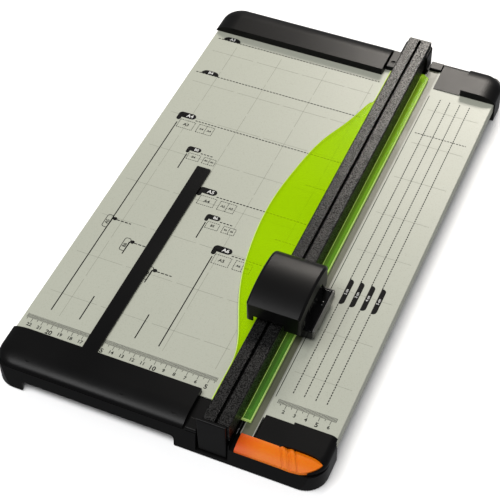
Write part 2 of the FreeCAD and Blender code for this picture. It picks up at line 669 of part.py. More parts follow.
def cover_screws():
    screws = []
    under = BODY_TOP - BODY_WALL
    for x, y in FRONT_SCREWS:
        screws.append(screw(x, y, under, FRONT_GUIDE - 2.4, SCREW_R, 2.8, 1.8))
    for x, y in FRONT_RIGHT_SCREWS:
        screws.append(screw(x, y, BODY_LOW_TOP - BODY_WALL, LOW_FRONT_TOP - 2.0, SCREW_R, 2.8, 1.8))
    for x, y in REAR_SCREWS + REAR_RIGHT_SCREWS[1:]:
        screws.append(screw(x, y, under, REAR_GUIDE - 2.4, SCREW_R, 2.8, 1.8))
    x, y = REAR_RIGHT_SCREWS[0]
    screws.append(screw(x, y, under, LOW_REAR_TOP - 1.5, SCREW_R, 2.8, 1.8))
    return screws


def deck_screws():
    return [screw(x, y, FLANGE_TOP - 2.0, -0.7, SCREW_R, 2.8, 1.8) for x, y in DECK_SCREWS]


# ---------------------------------------------------------------- side gauge

def gauge_bar():
    x0 = GAUGE_X - GAUGE_WIDE / 2
    bar = box(x0, x0 + GAUGE_WIDE, -17.0, GAUGE_END, GAUGE_BOTTOM, GAUGE_TOP)
    ends = edges_where(bar, lambda e: e.BoundBox.ZLength > 1.5 and e.BoundBox.YMin > GAUGE_END - 0.1)
    bar = bar.makeFillet(1.0, ends)
    for x in (GAUGE_X - 4.0, GAUGE_X + 4.0):
        bar = bar.cut(rod_z(-1, 5, x, -12.0, 1.0 + FIT))
    return bar


def gauge_slider():
    block = box(GAUGE_X - 9.2, GAUGE_X + 9.2, -19.0, -4.0, -0.45, 2.4)
    block = block.cut(box(GAUGE_X - GAUGE_WIDE / 2 - 0.1, GAUGE_X + GAUGE_WIDE / 2 + 0.1, -18.0, 0, 0.25, 4))
    for x in (GAUGE_X - 4.0, GAUGE_X + 4.0):
        block = block.cut(rod_z(-2, 5, x, -12.0, 1.0 + FIT))
    return block


def gauge_screws():
    return [screw(x, -12.0, GAUGE_TOP, -0.3, 1.0, 2.0, 1.0) for x in (GAUGE_X - 4.0, GAUGE_X + 4.0)]


# ---------------------------------------------------------------- rail


def rail_beam():
    beam = box(RAIL_LEFT, RAIL_RIGHT, RAIL_FRONT, RAIL_REAR, RAIL_BOTTOM, RAIL_TOP)
    long_top = edges_where(
        beam,
        lambda e: e.BoundBox.YLength > 300 and e.BoundBox.ZMin > RAIL_TOP - 0.01,
    )
    beam = beam.makeFillet(1.2, long_top)
    y0 = RAIL_FRONT - 1
    y1 = RAIL_REAR + 1
    beam = beam.cut(box(RAIL_LEFT + RAIL_WALL, RAIL_RIGHT - RAIL_WALL, y0, y1, RAIL_BOTTOM + RAIL_WALL,
                        TEE_FLOOR - 1.6))
    beam = beam.cut(box(RAIL_MID - TEE_WIDE / 2, RAIL_MID + TEE_WIDE / 2, y0, y1, TEE_FLOOR, TEE_ROOF))
    beam = beam.cut(box(RAIL_MID - GROOVE / 2, RAIL_MID + GROOVE / 2, y0, y1, TEE_ROOF - 0.1, RAIL_TOP + 1))
    for x in (RAIL_LEFT + RAIL_WALL, RAIL_RIGHT - RAIL_WALL - 3.4):
        port = box(x, x + 3.4, y0, y1, TEE_FLOOR, TEE_ROOF)
        beam = beam.cut(port)
    holes = [(RAIL_MID, y) for y in CLAMP_SCREWS_Y]
    holes += [(x, y) for x in END_SCREWS_X for y in (FRONT_CAP_SCREW_Y, REAR_CAP_SCREW_Y)]
    for x, y in holes:
        beam = beam.cut(rod_z(RAIL_BOTTOM - 1, RAIL_BOTTOM + RAIL_WALL + 1, x, y, SCREW_R + FIT))
    return beam


def rail_front_cap():
    face = box(RECESS_X0 + 1.6, RECESS_X1 - 1.4, -40.6, RAIL_FRONT - GAP, RECESS_FLOOR + 1.0, RAIL_TOP - 0.3)
    upright = edges_where(
        face,
        lambda e: e.BoundBox.YMax < -40.5 and (e.BoundBox.ZLength > 10 or e.BoundBox.XLength > 10),
    )
    face = face.makeFillet(1.2, upright)
    plug = box(RAIL_LEFT + RAIL_WALL + 0.1, RAIL_RIGHT - RAIL_WALL - 0.1, -38.5, FRONT_CAP_SCREW_Y + 5.0,
               RAIL_BOTTOM + RAIL_WALL + 0.1, TEE_FLOOR - 1.7)
    for x in (RECESS_X0 + 1.6, RECESS_X1 - 3.4):
        cheek = box(x, x + 2.0, -38.5, RECESS_BACK - 1.0, RECESS_FLOOR + 1.0, PLATE_BOTTOM - 0.2)
        plug = plug.fuse(cheek)
    cap = join(face, plug)
    cap = cap.cut(rod_x(RECESS_X0, RECESS_X1, LATCH_Y, LATCH_Z, 1.5 + FIT))
    # the latch arm passes the left cheek through a slot
    cap = cap.cut(box(RECESS_X0 + 1, RECESS_X0 + 4.4, -36.5, RECESS_BACK, -1.0, PLATE_BOTTOM + 1))
    for x in END_SCREWS_X:
        cap = cap.cut(rod_z(RAIL_BOTTOM, 11.5, x, FRONT_CAP_SCREW_Y, SCREW_R + FIT))
    return cap


def rail_latch():
    """Thumb wing beside the front cap, with an arm that ends in a hook under the keeper lip."""
    hub = rod_x(RECESS_X0 + 4.6, RECESS_X1 - 4.4, LATCH_Y, LATCH_Z, 3.0)
    arm = box(RECESS_X0 + 9.0, RECESS_X1 - 9.0, LATCH_Y - 1.5, LATCH_Y + 1.5, -17.0, LATCH_Z)
    hook = prism_x([(LATCH_Y - 1.5, -17.0), (LATCH_Y + 1.0, -17.0), (RECESS_BACK - 0.5, -14.4),
                    (RECESS_BACK - 0.5, -13.4), (LATCH_Y - 1.5, -13.4)], RECESS_X0 + 9.0, RECESS_X1 - 9.0)
    bridge = box(FRONT_LEFT_COVER_END + 3.0, RECESS_X0 + 9.0, LATCH_Y - 3.0, LATCH_Y + 2.4, 0.1, 1.3)
    wing = box(FRONT_LEFT_COVER_END + 2.0, RECESS_X0 + 0.6, -39.8, LATCH_Y + 3.4, 0.4, 3.4)
    tops = edges_where(wing, lambda e: e.BoundBox.ZMin > 3.3)
    wing = wing.makeFillet(1.4, tops)
    latch = join(hub, arm, hook, bridge, wing)
    return latch.cut(rod_x(-60, 0, LATCH_Y, LATCH_Z, 1.5 + FIT))


def latch_pin():
    return rod_x(RECESS_X0 + 1.8, RECESS_X1 - 1.6, LATCH_Y, LATCH_Z, 1.5)


def latch_spring():
    return coil(V(RAIL_MID, -37.5, -9.0), V(0, 1, 0), 4.6, 2.0, 0.35, 4)


def clamp_plate():
    """Transparent plate that presses the paper: a straight strip to the right of the rail and a
    long curved wing to its left."""
    z0 = PLATE_BOTTOM
    wing = [(-39.4, 33.0), (-41.9, 51.9), (-53.9, 83.5), (-66.7, 115.9), (-76.0, 156.0), (-80.6, 195.0),
            (-80.6, 235.0), (-76.5, 270.4), (-66.0, 320.0), (-51.0, 358.0), (-42.4, 385.0), (-39.4, 410.0)]
    curve = Part.BSplineCurve()
    points = [V(x, y, z0) for x, y in wing]
    curve.interpolate(Points=points, InitialTangent=V(0, 1, 0), FinalTangent=V(0, 1, 0))
    front = [(-39.4, 33.0), (-39.4, -4.6), (-11.0, -4.6), (-11.0, -13.2), (PLATE_RIGHT, -13.2),
             (PLATE_RIGHT, 441.0), (-6.0, 445.0), (-39.4, 437.4), (-39.4, 410.0)]
    straight = Part.makePolygon([V(x, y, z0) for x, y in front])
    wire = Part.Wire([curve.toShape()] + straight.Edges[::-1])
    plate = Part.Face(wire).extrude(V(0, 0, PLATE_TOP - z0))
    tops = edges_where(plate, lambda e: e.BoundBox.ZMin > PLATE_TOP - 0.01)
    plate = plate.makeChamfer(PLATE_BEVEL, tops)
    ridge = prism_y([(RAIL_RIGHT + 0.3, PLATE_TOP - 0.5), (RAIL_RIGHT + 1.3, PLATE_TOP - 0.5),
                     (RAIL_RIGHT + 0.8, PLATE_TOP + 0.4)], -12.0, 440.0)
    plate = join(plate, ridge)
    for y in CLAMP_SCREWS_Y:
        plate = plate.cut(rod_z(-1, 5, RAIL_MID, y, SCREW_R + FIT))
        plate = plate.cut(rod_z(-1, PLATE_BOTTOM + 1.4, RAIL_MID, y, 3.1))
    return plate


def clamp_screws():
    head = PLATE_BOTTOM + 1.4
    return [screw(RAIL_MID, y, head, RAIL_BOTTOM + 2.8, SCREW_R, 2.8, 1.3) for y in CLAMP_SCREWS_Y]


def clamp_pads():
    left = box(-38.0, -30.0, 0.0, 436.0, 0.15, PLATE_BOTTOM)
    right = box(-12.0, -4.9, 0.0, 436.0, 0.15, PLATE_BOTTOM)
    return [left, right]


def rail_rear_cap():
    """Carrier at the hinge end: cheeks beside the rail, a back wall and the knuckles on the pin."""
    y0 = 452.5
    shell = box(KNUCKLE_LEFT, KNUCKLE_RIGHT, y0, 472.4, HINGE_Z, 18.6)
    upright = edges_where(shell, lambda e: e.BoundBox.ZLength > 10 and e.BoundBox.YMin > 472)
    shell = shell.makeFillet(4.0, upright)
    top = edges_where(shell, lambda e: e.BoundBox.ZMin > 18.5)
    shell = shell.makeFillet(1.6, top)
    back = box(RAIL_LEFT + 0.6, RAIL_RIGHT - 0.6, RAIL_REAR + 0.2, 472.2, 10.0, RAIL_TOP - 0.4)
    knuckle = rod_x(KNUCKLE_LEFT, KNUCKLE_RIGHT, HINGE_Y, HINGE_Z, KNUCKLE_R)
    cap = join(shell, back, knuckle)
    # lower back corner follows the pin so that it clears the pocket as the rail lifts
    keep = rod_x(KNUCKLE_LEFT - 1, KNUCKLE_RIGHT + 1, HINGE_Y, HINGE_Z, 12.4).fuse(
        box(KNUCKLE_LEFT - 1, KNUCKLE_RIGHT + 1, y0 - 1, 480, 1.0, 30)
    )
    cap = cap.common(keep)
    seat = box(RAIL_LEFT - 0.05, RAIL_RIGHT + 0.05, y0 - 1, RAIL_REAR + 0.1, RAIL_BOTTOM - 0.05, 30)
    cap = cap.cut(seat)
    middle_gap = box(RAIL_MID - 7.0, RAIL_MID + 7.0, y0 - 2, HINGE_Y + 7, HINGE_Z - 8, RAIL_BOTTOM - 1.6)
    cap = cap.cut(middle_gap)
    cap = cap.cut(rod_x(-50, 10, HINGE_Y, HINGE_Z, HINGE_PIN_R + FIT))
    for x in END_SCREWS_X:
        cap = cap.cut(rod_z(-10, 8, x, REAR_CAP_SCREW_Y, SCREW_R + FIT))
        cap = cap.cut(rod_z(-10, HINGE_Z, x, REAR_CAP_SCREW_Y, 3.0))
    return cap


def rail_end_screws():
    screws = []
    for x in END_SCREWS_X:
        screws.append(screw(x, FRONT_CAP_SCREW_Y, RAIL_BOTTOM, 10.5, SCREW_R, 2.8, 1.3))
        screws.append(screw(x, REAR_CAP_SCREW_Y, HINGE_Z, RAIL_BOTTOM + 2.8, SCREW_R, 2.8, 1.3))
    return screws


def hinge_bracket():
    """Steel bracket with two ears that hold the hinge pin."""
    floor = BRACKET_FLOOR
    base = box(TONGUE_LEFT + 0.4, TONGUE_RIGHT - 0.4, 446.0, 468.0, floor, floor + EAR_THICK)
    outline = [(450.0, floor), (468.0, floor), (465.0, HINGE_Z + 4.6), (455.0, HINGE_Z + 4.6)]
    left = prism_x(outline, EAR_LEFT, EAR_LEFT + EAR_THICK)
    right = prism_x(outline, EAR_RIGHT - EAR_THICK, EAR_RIGHT)
    bracket = join(base, left, right)
    bracket = bracket.cut(rod_x(-60, 20, HINGE_Y, HINGE_Z, HINGE_PIN_R + 0.02))
    for x, y in HINGE_SCREWS:
        bracket = bracket.cut(rod_z(floor - 1, floor + 4, x, y, SCREW_R + FIT))
    return bracket


def hinge_pin():
    head = rod_x(EAR_LEFT - PIN_HEAD, EAR_LEFT, HINGE_Y, HINGE_Z, PIN_HEAD_R)
    return join(rod_x(EAR_LEFT - 0.2, EAR_RIGHT + 1.0, HINGE_Y, HINGE_Z, HINGE_PIN_R), head)


def hinge_cover_left():
    """Block over the pin's head, on a post, with the screw sunk in its top."""
    x, y = HINGE_SCREWS[0]
    block = box(TONGUE_LEFT + 0.2, EAR_LEFT - GAP, TONGUE_REAR_LEFT + 0.6, 467.4, BODY_TOP - 0.4,
                HINGE_COVER_TOP)
    tops = edges_where(block, lambda e: e.BoundBox.ZMin > HINGE_COVER_TOP - 0.1)
    block = block.makeFillet(0.8, tops)
    post = rod_z(BRACKET_FLOOR + EAR_THICK, BODY_TOP, x, y, BOSS_R)
    block = join(block, post)
    way = box(EAR_LEFT - PIN_HEAD - GAP, EAR_LEFT, HINGE_Y - PIN_HEAD_R - GAP, HINGE_Y + PIN_HEAD_R + GAP,
              -10, HINGE_Z + PIN_HEAD_R + GAP)
    block = block.cut(way)
    block = block.cut(rod_z(-30, 10, x, y, SCREW_R + FIT))
    return block.cut(rod_z(HINGE_SCREW_HEAD, 10, x, y, HINGE_SCREW_R + 0.1))


def hinge_cover_right():
    x, y = HINGE_SCREWS[1]
    top = 2.4
    block = box(EAR_RIGHT + GAP, TONGUE_RIGHT - 0.2, TONGUE_REAR_RIGHT + 0.4, 468.0, BODY_TOP - 0.4, top)
    tops = edges_where(block, lambda e: e.BoundBox.ZMin > top - 0.1)
    block = block.makeFillet(0.6, tops)
    post = rod_z(BRACKET_FLOOR + EAR_THICK, BODY_TOP, x, y, BOSS_R)
    block = join(block, post)
    block = block.cut(rod_x(EAR_RIGHT, EAR_RIGHT + 1.0 + GAP, HINGE_Y, HINGE_Z, HINGE_PIN_R + GAP))
    return block.cut(rod_z(-30, -2.0, x, y, SCREW_R + FIT))


def hinge_screws():
    below = HINGE_POCKET_FLOOR - BODY_WALL
    x, y = HINGE_SCREWS[0]
    from_above = screw(x, y, HINGE_SCREW_HEAD, below, SCREW_R, HINGE_SCREW_R, 1.8)
    x, y = HINGE_SCREWS[1]
    from_below = screw(x, y, below, -3.0, SCREW_R, HINGE_SCREW_R, 1.8)
    return [from_above, from_below]


# ---------------------------------------------------------------- carriage

def slider_base():
    plate = box(-36.0, -9.0, 77.0, 139.0, SLIDER_BOTTOM, SLIDER_TOP)
    uprights = edges_where(plate, lambda e: e.BoundBox.ZLength > 2.5)
    plate = plate.makeFillet(3.0, uprights)
    for y in POSTS_Y:
        boss = rod_z(SLIDER_TOP - 0.5, SLIDER_TOP + 1.4, RAIL_MID, y, 3.0)
        plate = join(plate, boss).cut(rod_z(SLIDER_BOTTOM - 1, SLIDER_TOP + 3, RAIL_MID, y, POST_R + 0.02))
    return plate


def guide_shoes():
    shoes = []
    for y in POSTS_Y:
        head_half = TEE_WIDE / 2 - 0.4
        neck_half = GROOVE / 2 - 0.3
        head = box(RAIL_MID - head_half, RAIL_MID + head_half, y - 6.0, y + 6.0, TEE_FLOOR + 0.4,
                   TEE_ROOF - 0.4)
        neck = box(RAIL_MID - neck_half, RAIL_MID + neck_half, y - 6.0, y + 6.0, TEE_FLOOR + 1, SLIDER_BOTTOM)
        shoe = join(head, neck)
        shoes.append(shoe)
    return shoes


def guide_posts():
    posts = []
    for y in POSTS_Y:
        post = rod_z(SLIDER_BOTTOM + 0.2, 38.6, RAIL_MID, y, POST_R)
        head = rod_z(HOLDER_TOP + 0.3, HOLDER_TOP + 2.6, RAIL_MID, y, 3.4)
        posts.append(join(post, head))
    return posts


def cap_springs():
    z0 = SLIDER_TOP + 0.6
    length = HOLDER_BOTTOM - 0.6 - z0
    return [coil(V(RAIL_MID, y, z0), V(0, 0, 1), length, 4.4, 0.5, 4) for y in POSTS_Y]


def blade_holder():
    plate = box(-34.0, 3.4, 78.0, 137.0, HOLDER_BOTTOM, HOLDER_TOP)
    leg = box(LEG_LEFT, LEG_RIGHT, 86.0, 132.0, 9.0, HOLDER_TOP)
    lower = edges_where(leg, lambda e: e.BoundBox.ZMax < 9.1 and e.BoundBox.XLength > 2)
    leg = leg.makeFillet(9.0, lower)
    holder = join(plate, leg)
    for y in POSTS_Y:
        holder = holder.cut(rod_z(20, 50, RAIL_MID, y, POST_R + FIT))
    for x, y in CAP_SCREWS:
        holder = holder.cut(rod_z(20, 50, x, y, SCREW_R + FIT))
    return holder.cut(rod_x(-20, 20, BLADE_Y, BLADE_Z, AXLE_R + FIT))


def cap_profile(inset, x0, x1):
    """The arched outline of the press cap, seen from the side, made thinner by inset."""
    y0 = CAP_FRONT + inset
    y1 = CAP_REAR - inset
    low = CAP_BOTTOM - (1.0 if inset else 0.0)
    p = [
        V(x0, y0, low), V(x0, y0 + 0.8, 40.2 - inset), V(x0, 103.0, 47.0 - inset),
        V(x0, 129.0 - inset / 2, 44.4 - inset),
        V(x0, 138.8 - inset * 0.8, 38.6 - inset * 0.7), V(x0, y1 - 0.4, 29.5), V(x0, y1, low),
    ]
    wire = Part.Wire([
        Part.makeLine(p[0], p[1]),
        Part.Arc(p[1], p[2], p[3]).toShape(),
        Part.Arc(p[3], p[4], p[5]).toShape(),
        Part.makeLine(p[5], p[6]),
        Part.makeLine(p[6], p[0]),
    ])
    return Part.Face(wire).extrude(V(x1 - x0, 0, 0))


def cap_plan():
    """Outline of the cap from above, with a different radius at each corner."""
    block = box(CAP_LEFT, CAP_RIGHT, CAP_FRONT, CAP_REAR, CAP_BOTTOM - 1, 60.0)
    for x, y, r in ((CAP_LEFT, CAP_FRONT, 5.0), (CAP_LEFT, CAP_REAR, 5.0), (CAP_RIGHT, CAP_REAR, 8.0),
                    (CAP_RIGHT, CAP_FRONT, 3.0)):
        block = block.makeFillet(r, edges_where(block, upright_at(x, y)))
    return block


def press_cap():
    skin = cap_profile(0, CAP_LEFT, CAP_RIGHT)
    rims = edges_where(
        skin,
        lambda e: e.BoundBox.XLength < 0.01 and e.BoundBox.ZMax > 30 and e.BoundBox.YLength > 2,
    )
    left_rims = [e for e in rims if e.BoundBox.XMin < 0]
    skin = skin.makeFillet(CAP_ROUND, left_rims)
    rims = edges_where(
        skin,
        lambda e: e.BoundBox.XMin > CAP_RIGHT - 0.01 and e.BoundBox.ZMax > 30 and e.BoundBox.YLength > 2,
    )
    skin = skin.makeChamfer(CAP_BEVEL, rims)
    skin = skin.common(cap_plan())
    core = cap_profile(CAP_WALL, CAP_LEFT + CAP_WALL, CAP_RIGHT - CAP_WALL)
    core = core.cut(prism_y([(CAP_RIGHT - 6.0, 60.0), (CAP_RIGHT, 60.0), (CAP_RIGHT, 20.0)], 0.0, 200.0))
    cap = skin.cut(core)
    # the end walls stop above the rail and the side wall is open around the cartridge
    cap = cap.cut(box(KNUCKLE_LEFT - 0.4, KNUCKLE_RIGHT + 0.4, CAP_FRONT - 5, CAP_REAR + 5, CAP_BOTTOM - 5,
                      CAP_OVER_RAIL))
    under = CAP_BOTTOM - 1
    lower = [(CAP_FRONT - 1, under), (CAP_FRONT + 3, under), (CAP_FRONT - 1, under + 4)]
    cap = cap.cut(prism_x(lower, CAP_LEFT - 1, CAP_RIGHT + 1))
    cap = cap.cut(prism_x(SIDE_OPENING, CAP_RIGHT - CAP_WALL - 1, CAP_RIGHT + 1))
    for x, y in CAP_SCREWS:
        boss = rod_z(HOLDER_TOP + 0.1, 45.4, x, y, 3.4).cut(rod_z(20, 42.0, x, y, SCREW_R + FIT))
        cap = join(cap, boss)
    return cap


def cap_screws():
    return [screw(x, y, HOLDER_BOTTOM, 41.5, SCREW_R, 2.8, 1.8) for x, y in CAP_SCREWS]


def cartridge_housing():
    """Blade guard plate beside the disc, with a shoulder and a low flat body outside it."""
    guard = rod_x(1.6, 3.6, BLADE_Y, BLADE_Z, 15.2)
    guard = guard.cut(box(0, 5, 60, 160, -5, BOX_BOTTOM))
    bridge = box(1.6, 3.4, 92.0, 126.0, 20.0, HOLDER_BOTTOM)
    body = box(3.4, BOX_RIGHT, BOX_FRONT, BOX_REAR, BOX_BOTTOM, BOX_TOP)
    rim = edges_where(body, lambda e: e.BoundBox.ZMin > BOX_TOP - 0.1 and e.BoundBox.XMax > BOX_RIGHT - 0.1)
    body = body.makeFillet(1.2, rim)
    shoulder = prism_x(SHOULDER, 3.4, SHOULDER_RIGHT)
    crest = edges_where(
        shoulder,
        lambda e: e.BoundBox.XMin > SHOULDER_RIGHT - 0.1 and e.BoundBox.ZMax > BOX_TOP,
    )
    shoulder = shoulder.makeChamfer(0.8, crest)
    for y in (96.0, 100.0, 104.0):
        shoulder = shoulder.cut(rod_z(BOX_TOP + 1.0, 40.0, SHOULDER_RIGHT + 0.6, y, 1.2))
    core = box(4.6, BOX_RIGHT - 1.6, BOX_FRONT + 1.6, BOX_REAR - 1.6, BOX_BOTTOM - 1, BOX_TOP - 2.2)
    hub = rod_x(3.4, BOX_RIGHT - 1.0, BLADE_Y, 10.4, 3.6).cut(box(0, 20, 60, 160, -5, BOX_BOTTOM))
    stud = Part.makeSphere(5.0, V(11.0, BLADE_Y + 9.0, BOX_TOP - 4.2))
    stud = stud.common(box(3.4, BOX_RIGHT, 60, 160, BOX_TOP - 1, 30))
    housing = join(guard, bridge, body.cut(core), shoulder, hub, stud)
    return housing.cut(rod_x(0, 3.7, BLADE_Y, BLADE_Z, AXLE_R + FIT))


def cartridge_cover():
    """Outer side of the cartridge, with its lower edge arched towards the front."""
    x0 = BOX_RIGHT + 0.1
    side = box(x0, x0 + 1.6, BOX_FRONT + 1.0, BOX_REAR + 1.0, BOX_BOTTOM, BOX_TOP + 0.2)
    ends = edges_where(
        side,
        lambda e: e.BoundBox.YLength < 0.01 and e.BoundBox.XLength > 1 and e.BoundBox.ZMin > BOX_TOP,
    )
    side = side.makeFillet(2.0, ends)
    arch = rod_x(x0 - 1, x0 + 3, BOX_FRONT + 9.0, BOX_BOTTOM - 1.8, 5.0)
    lip = box(5.0, x0 + 1.6, BOX_REAR + 0.1, BOX_REAR + 1.0, BOX_BOTTOM + 3.0, BOX_TOP + 0.5)
    return join(side.cut(arch), lip)


def blade_disc():
    ground = BLADE_R - BLADE_BEVEL
    half = (BLADE_X1 - BLADE_X0) / 2
    disc = rod_x(BLADE_X0, BLADE_X1, BLADE_Y, BLADE_Z, ground)
    edge = Part.makeCone(ground, BLADE_R, half, V(BLADE_X0, BLADE_Y, BLADE_Z), V(1, 0, 0))
    other = Part.makeCone(BLADE_R, ground, half, V(BLADE_X0 + half, BLADE_Y, BLADE_Z), V(1, 0, 0))
    disc = join(disc, edge, other).cut(rod_x(-1, 3, BLADE_Y, BLADE_Z, AXLE_R + 0.02))
    for i in range(3):
        a = math.radians(90 + 120 * i)
        disc = disc.cut(rod_x(-1, 3, BLADE_Y + 7.0 * math.cos(a), BLADE_Z + 7.0 * math.sin(a), 1.4))
    return disc


def blade_hub():
    left = rod_x(LEG_RIGHT + GAP, BLADE_X0, BLADE_Y, BLADE_Z, 4.2)
    right = rod_x(BLADE_X1, 1.6 - GAP, BLADE_Y, BLADE_Z, 4.2)
    bore = rod_x(-5, 5, BLADE_Y, BLADE_Z, AXLE_R + 0.02)
    return [left.cut(bore), right.cut(bore)]


def blade_axle():
    return rod_x(LEG_LEFT + 0.1, 3.6, BLADE_Y, BLADE_Z, AXLE_R)


save("front_body", front_body())
save("rear_body", rear_body())
save("deck_plate", deck_plate())
save("mat_channel", mat_channel())
save("cutting_mat", cutting_mat())
save("mat_support_beam", mat_support_beam())
save("front_cover_left", front_cover_left())
save("front_cover_right", front_cover_right())
save("rear_cover_left", rear_cover_left())
save("rear_bridge_cover", rear_bridge_cover())
save("rear_cover_right", rear_cover_right())
save("rubber_feet", *rubber_feet())
save("cover_screws", *cover_screws())
save("deck_screws", *deck_screws())
save("mat_lock_lever", mat_lock_lever())
save("mat_lock_pin", mat_lock_pin())
save("gauge_bar", gauge_bar())
save("gauge_slider", gauge_slider())
save("gauge_screws", *gauge_screws())
save("rail_beam", rail_beam())
save("rail_front_cap", rail_front_cap())
save("rail_rear_cap", rail_rear_cap())
save("rail_end_screws", *rail_end_screws())
save("rail_latch", rail_latch())
save("latch_pin", latch_pin())
save("latch_spring", latch_spring())
save("clamp_plate", clamp_plate())
save("clamp_screws", *clamp_screws())
save("clamp_pads", *clamp_pads())
save("hinge_bracket", hinge_bracket())
save("hinge_pin", hinge_pin())
save("hinge_screws", *hinge_screws())
save("hinge_cover_left", hinge_cover_left())
save("hinge_cover_right", hinge_cover_right())
save("slider_base", slider_base())
save("guide_shoes", *guide_shoes())
save("guide_posts", *guide_posts())
save("cap_springs", *cap_springs())
save("blade_holder", blade_holder())
save("press_cap", press_cap())
save("cap_screws", *cap_screws())
save("cartridge_housing", cartridge_housing())
save("cartridge_cover", cartridge_cover())
save("blade_disc", blade_disc())
save("blade_hub", *blade_hub())
save("blade_axle", blade_axle())
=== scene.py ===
import json
import math

import bmesh
import bpy
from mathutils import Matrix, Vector


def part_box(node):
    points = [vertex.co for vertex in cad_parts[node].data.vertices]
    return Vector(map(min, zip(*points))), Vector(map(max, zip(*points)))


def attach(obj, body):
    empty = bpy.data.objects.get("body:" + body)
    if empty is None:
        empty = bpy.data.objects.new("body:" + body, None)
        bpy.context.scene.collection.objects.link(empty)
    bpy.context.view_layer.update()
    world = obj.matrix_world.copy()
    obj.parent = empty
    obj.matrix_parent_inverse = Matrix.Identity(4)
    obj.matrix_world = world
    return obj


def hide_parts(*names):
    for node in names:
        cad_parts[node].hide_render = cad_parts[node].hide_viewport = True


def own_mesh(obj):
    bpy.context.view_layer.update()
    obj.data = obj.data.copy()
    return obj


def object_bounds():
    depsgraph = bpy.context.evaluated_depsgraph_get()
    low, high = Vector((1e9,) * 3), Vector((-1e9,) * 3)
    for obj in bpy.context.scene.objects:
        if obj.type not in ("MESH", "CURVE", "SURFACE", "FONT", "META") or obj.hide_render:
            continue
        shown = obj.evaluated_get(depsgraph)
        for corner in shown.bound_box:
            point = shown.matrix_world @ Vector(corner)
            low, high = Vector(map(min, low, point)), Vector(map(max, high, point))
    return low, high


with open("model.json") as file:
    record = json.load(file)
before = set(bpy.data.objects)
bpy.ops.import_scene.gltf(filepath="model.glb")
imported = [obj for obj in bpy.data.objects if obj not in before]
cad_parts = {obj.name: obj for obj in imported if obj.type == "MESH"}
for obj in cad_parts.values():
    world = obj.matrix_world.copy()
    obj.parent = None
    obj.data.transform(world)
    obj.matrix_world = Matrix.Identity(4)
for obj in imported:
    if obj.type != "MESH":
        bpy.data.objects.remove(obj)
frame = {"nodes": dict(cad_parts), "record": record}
CAD_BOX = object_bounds()

# Places on the deck are given in mm from the cutting line (x), the paper stop (y) and the
# deck's top (z), all three found on the frame.
MM = 0.001
BLADE_FROM_LINE = 0.3 * MM
CUT_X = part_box("blade_disc")[0].x - BLADE_FROM_LINE
STOP_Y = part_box("front_cover_left")[1].y
DECK_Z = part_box("deck_plate")[1].z
DECK_LEFT = (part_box("deck_plate")[0].x - CUT_X) / MM
RAIL_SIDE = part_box("rail_beam")[1].x


def at(x, y, z=0.0):
    """A place in the frame, in metres, from mm on the deck."""
    return Vector((CUT_X + x * MM, STOP_Y + y * MM, DECK_Z + z * MM))


# ---------------------------------------------------------------- camera, floor and light

CAMERA_PLACE = (277.93, -625.19, 978.79)
CAMERA_TURN = (41.379, 0.796, 23.340)
CAMERA_LENS = 103.2
CAMERA_SENSOR = 36.0
FLOOR_RADIUS = 7.0
FLOOR_GAP = 0.0001


def add_camera():
    """The camera, placed in mm from the deck's three planes."""
    data = bpy.data.cameras.new("camera")
    data.lens = CAMERA_LENS
    data.sensor_width = CAMERA_SENSOR
    data.clip_start = 0.05
    camera = bpy.data.objects.new("camera", data)
    camera.location = at(*CAMERA_PLACE)
    camera.rotation_euler = [math.radians(a) for a in CAMERA_TURN]
    bpy.context.scene.collection.objects.link(camera)
    bpy.context.scene.camera = camera


def add_area_light(name, place, target, width, height, watts, colour):
    """A soft box at a place in metres, turned to its target."""
    data = bpy.data.lights.new(name, "AREA")
    data.shape = "RECTANGLE"
    data.size = width
    data.size_y = height
    data.energy = watts
    data.color = colour
    light = bpy.data.objects.new(name, data)
    light.location = place
    light.rotation_euler = (Vector(target) - Vector(place)).to_track_quat("-Z", "Y").to_euler()
    bpy.context.scene.collection.objects.link(light)


def add_studio():
    """A dim even sky and two soft lights."""
    world = bpy.data.worlds.new("studio")
    world.use_nodes = True
    sky = world.node_tree.nodes["Background"]
    sky.inputs["Color"].default_value = (0.97, 0.98, 1.0, 1.0)
    sky.inputs["Strength"].default_value = 0.3
    bpy.context.scene.world = world
    # the rear light is low enough to gleam on the rear of the flat tops and not on the front
    add_area_light("rear_light", place=(-0.1, 1.45, 1.05), target=(-0.05, 0.2, 0.0),
                   width=0.5, height=0.4, watts=21.5, colour=(1.0, 0.94, 0.865))
    add_area_light("top_light", place=(-0.4, -0.95, 2.25), target=(-0.1, -0.05, 0.0),
                   width=2.6, height=0.9, watts=64.0, colour=(1.0, 1.0, 1.0))
    bpy.context.scene.view_settings.view_transform = "Standard"


def add_floor():
    """A wide pale disc just below the feet."""
    mesh = bpy.data.meshes.new("floor")
    bm = bmesh.new()
    bmesh.ops.create_circle(bm, cap_ends=True, segments=96, radius=FLOOR_RADIUS)
    bm.to_mesh(mesh)
    bm.free()
    floor = bpy.data.objects.new("floor", mesh)
    floor.location.z = CAD_BOX[0].z - FLOOR_GAP
    bpy.context.scene.collection.objects.link(floor)
    mesh.materials.append(pale_floor())
    floor.visible_glossy = False     # the black sides would shine white from it


# ---------------------------------------------------------------- materials

def new_material(name, shader_values):
    """A material with one Principled shader, and its tree."""
    material = bpy.data.materials.new(name)
    material.use_nodes = True
    tree = material.node_tree
    shader = tree.nodes["Principled BSDF"]
    for key, value in shader_values.items():
        shader.inputs[key].default_value = value
    return material, tree, shader


def coordinates(tree, stretch=(1.0, 1.0, 1.0)):
    """Object coordinates, in metres, stretched along each axis."""
    place = tree.nodes.new("ShaderNodeTexCoord")
    mapping = tree.nodes.new("ShaderNodeMapping")
    mapping.inputs["Scale"].default_value = stretch
    tree.links.new(place.outputs["Object"], mapping.inputs["Vector"])
    return mapping.outputs["Vector"]


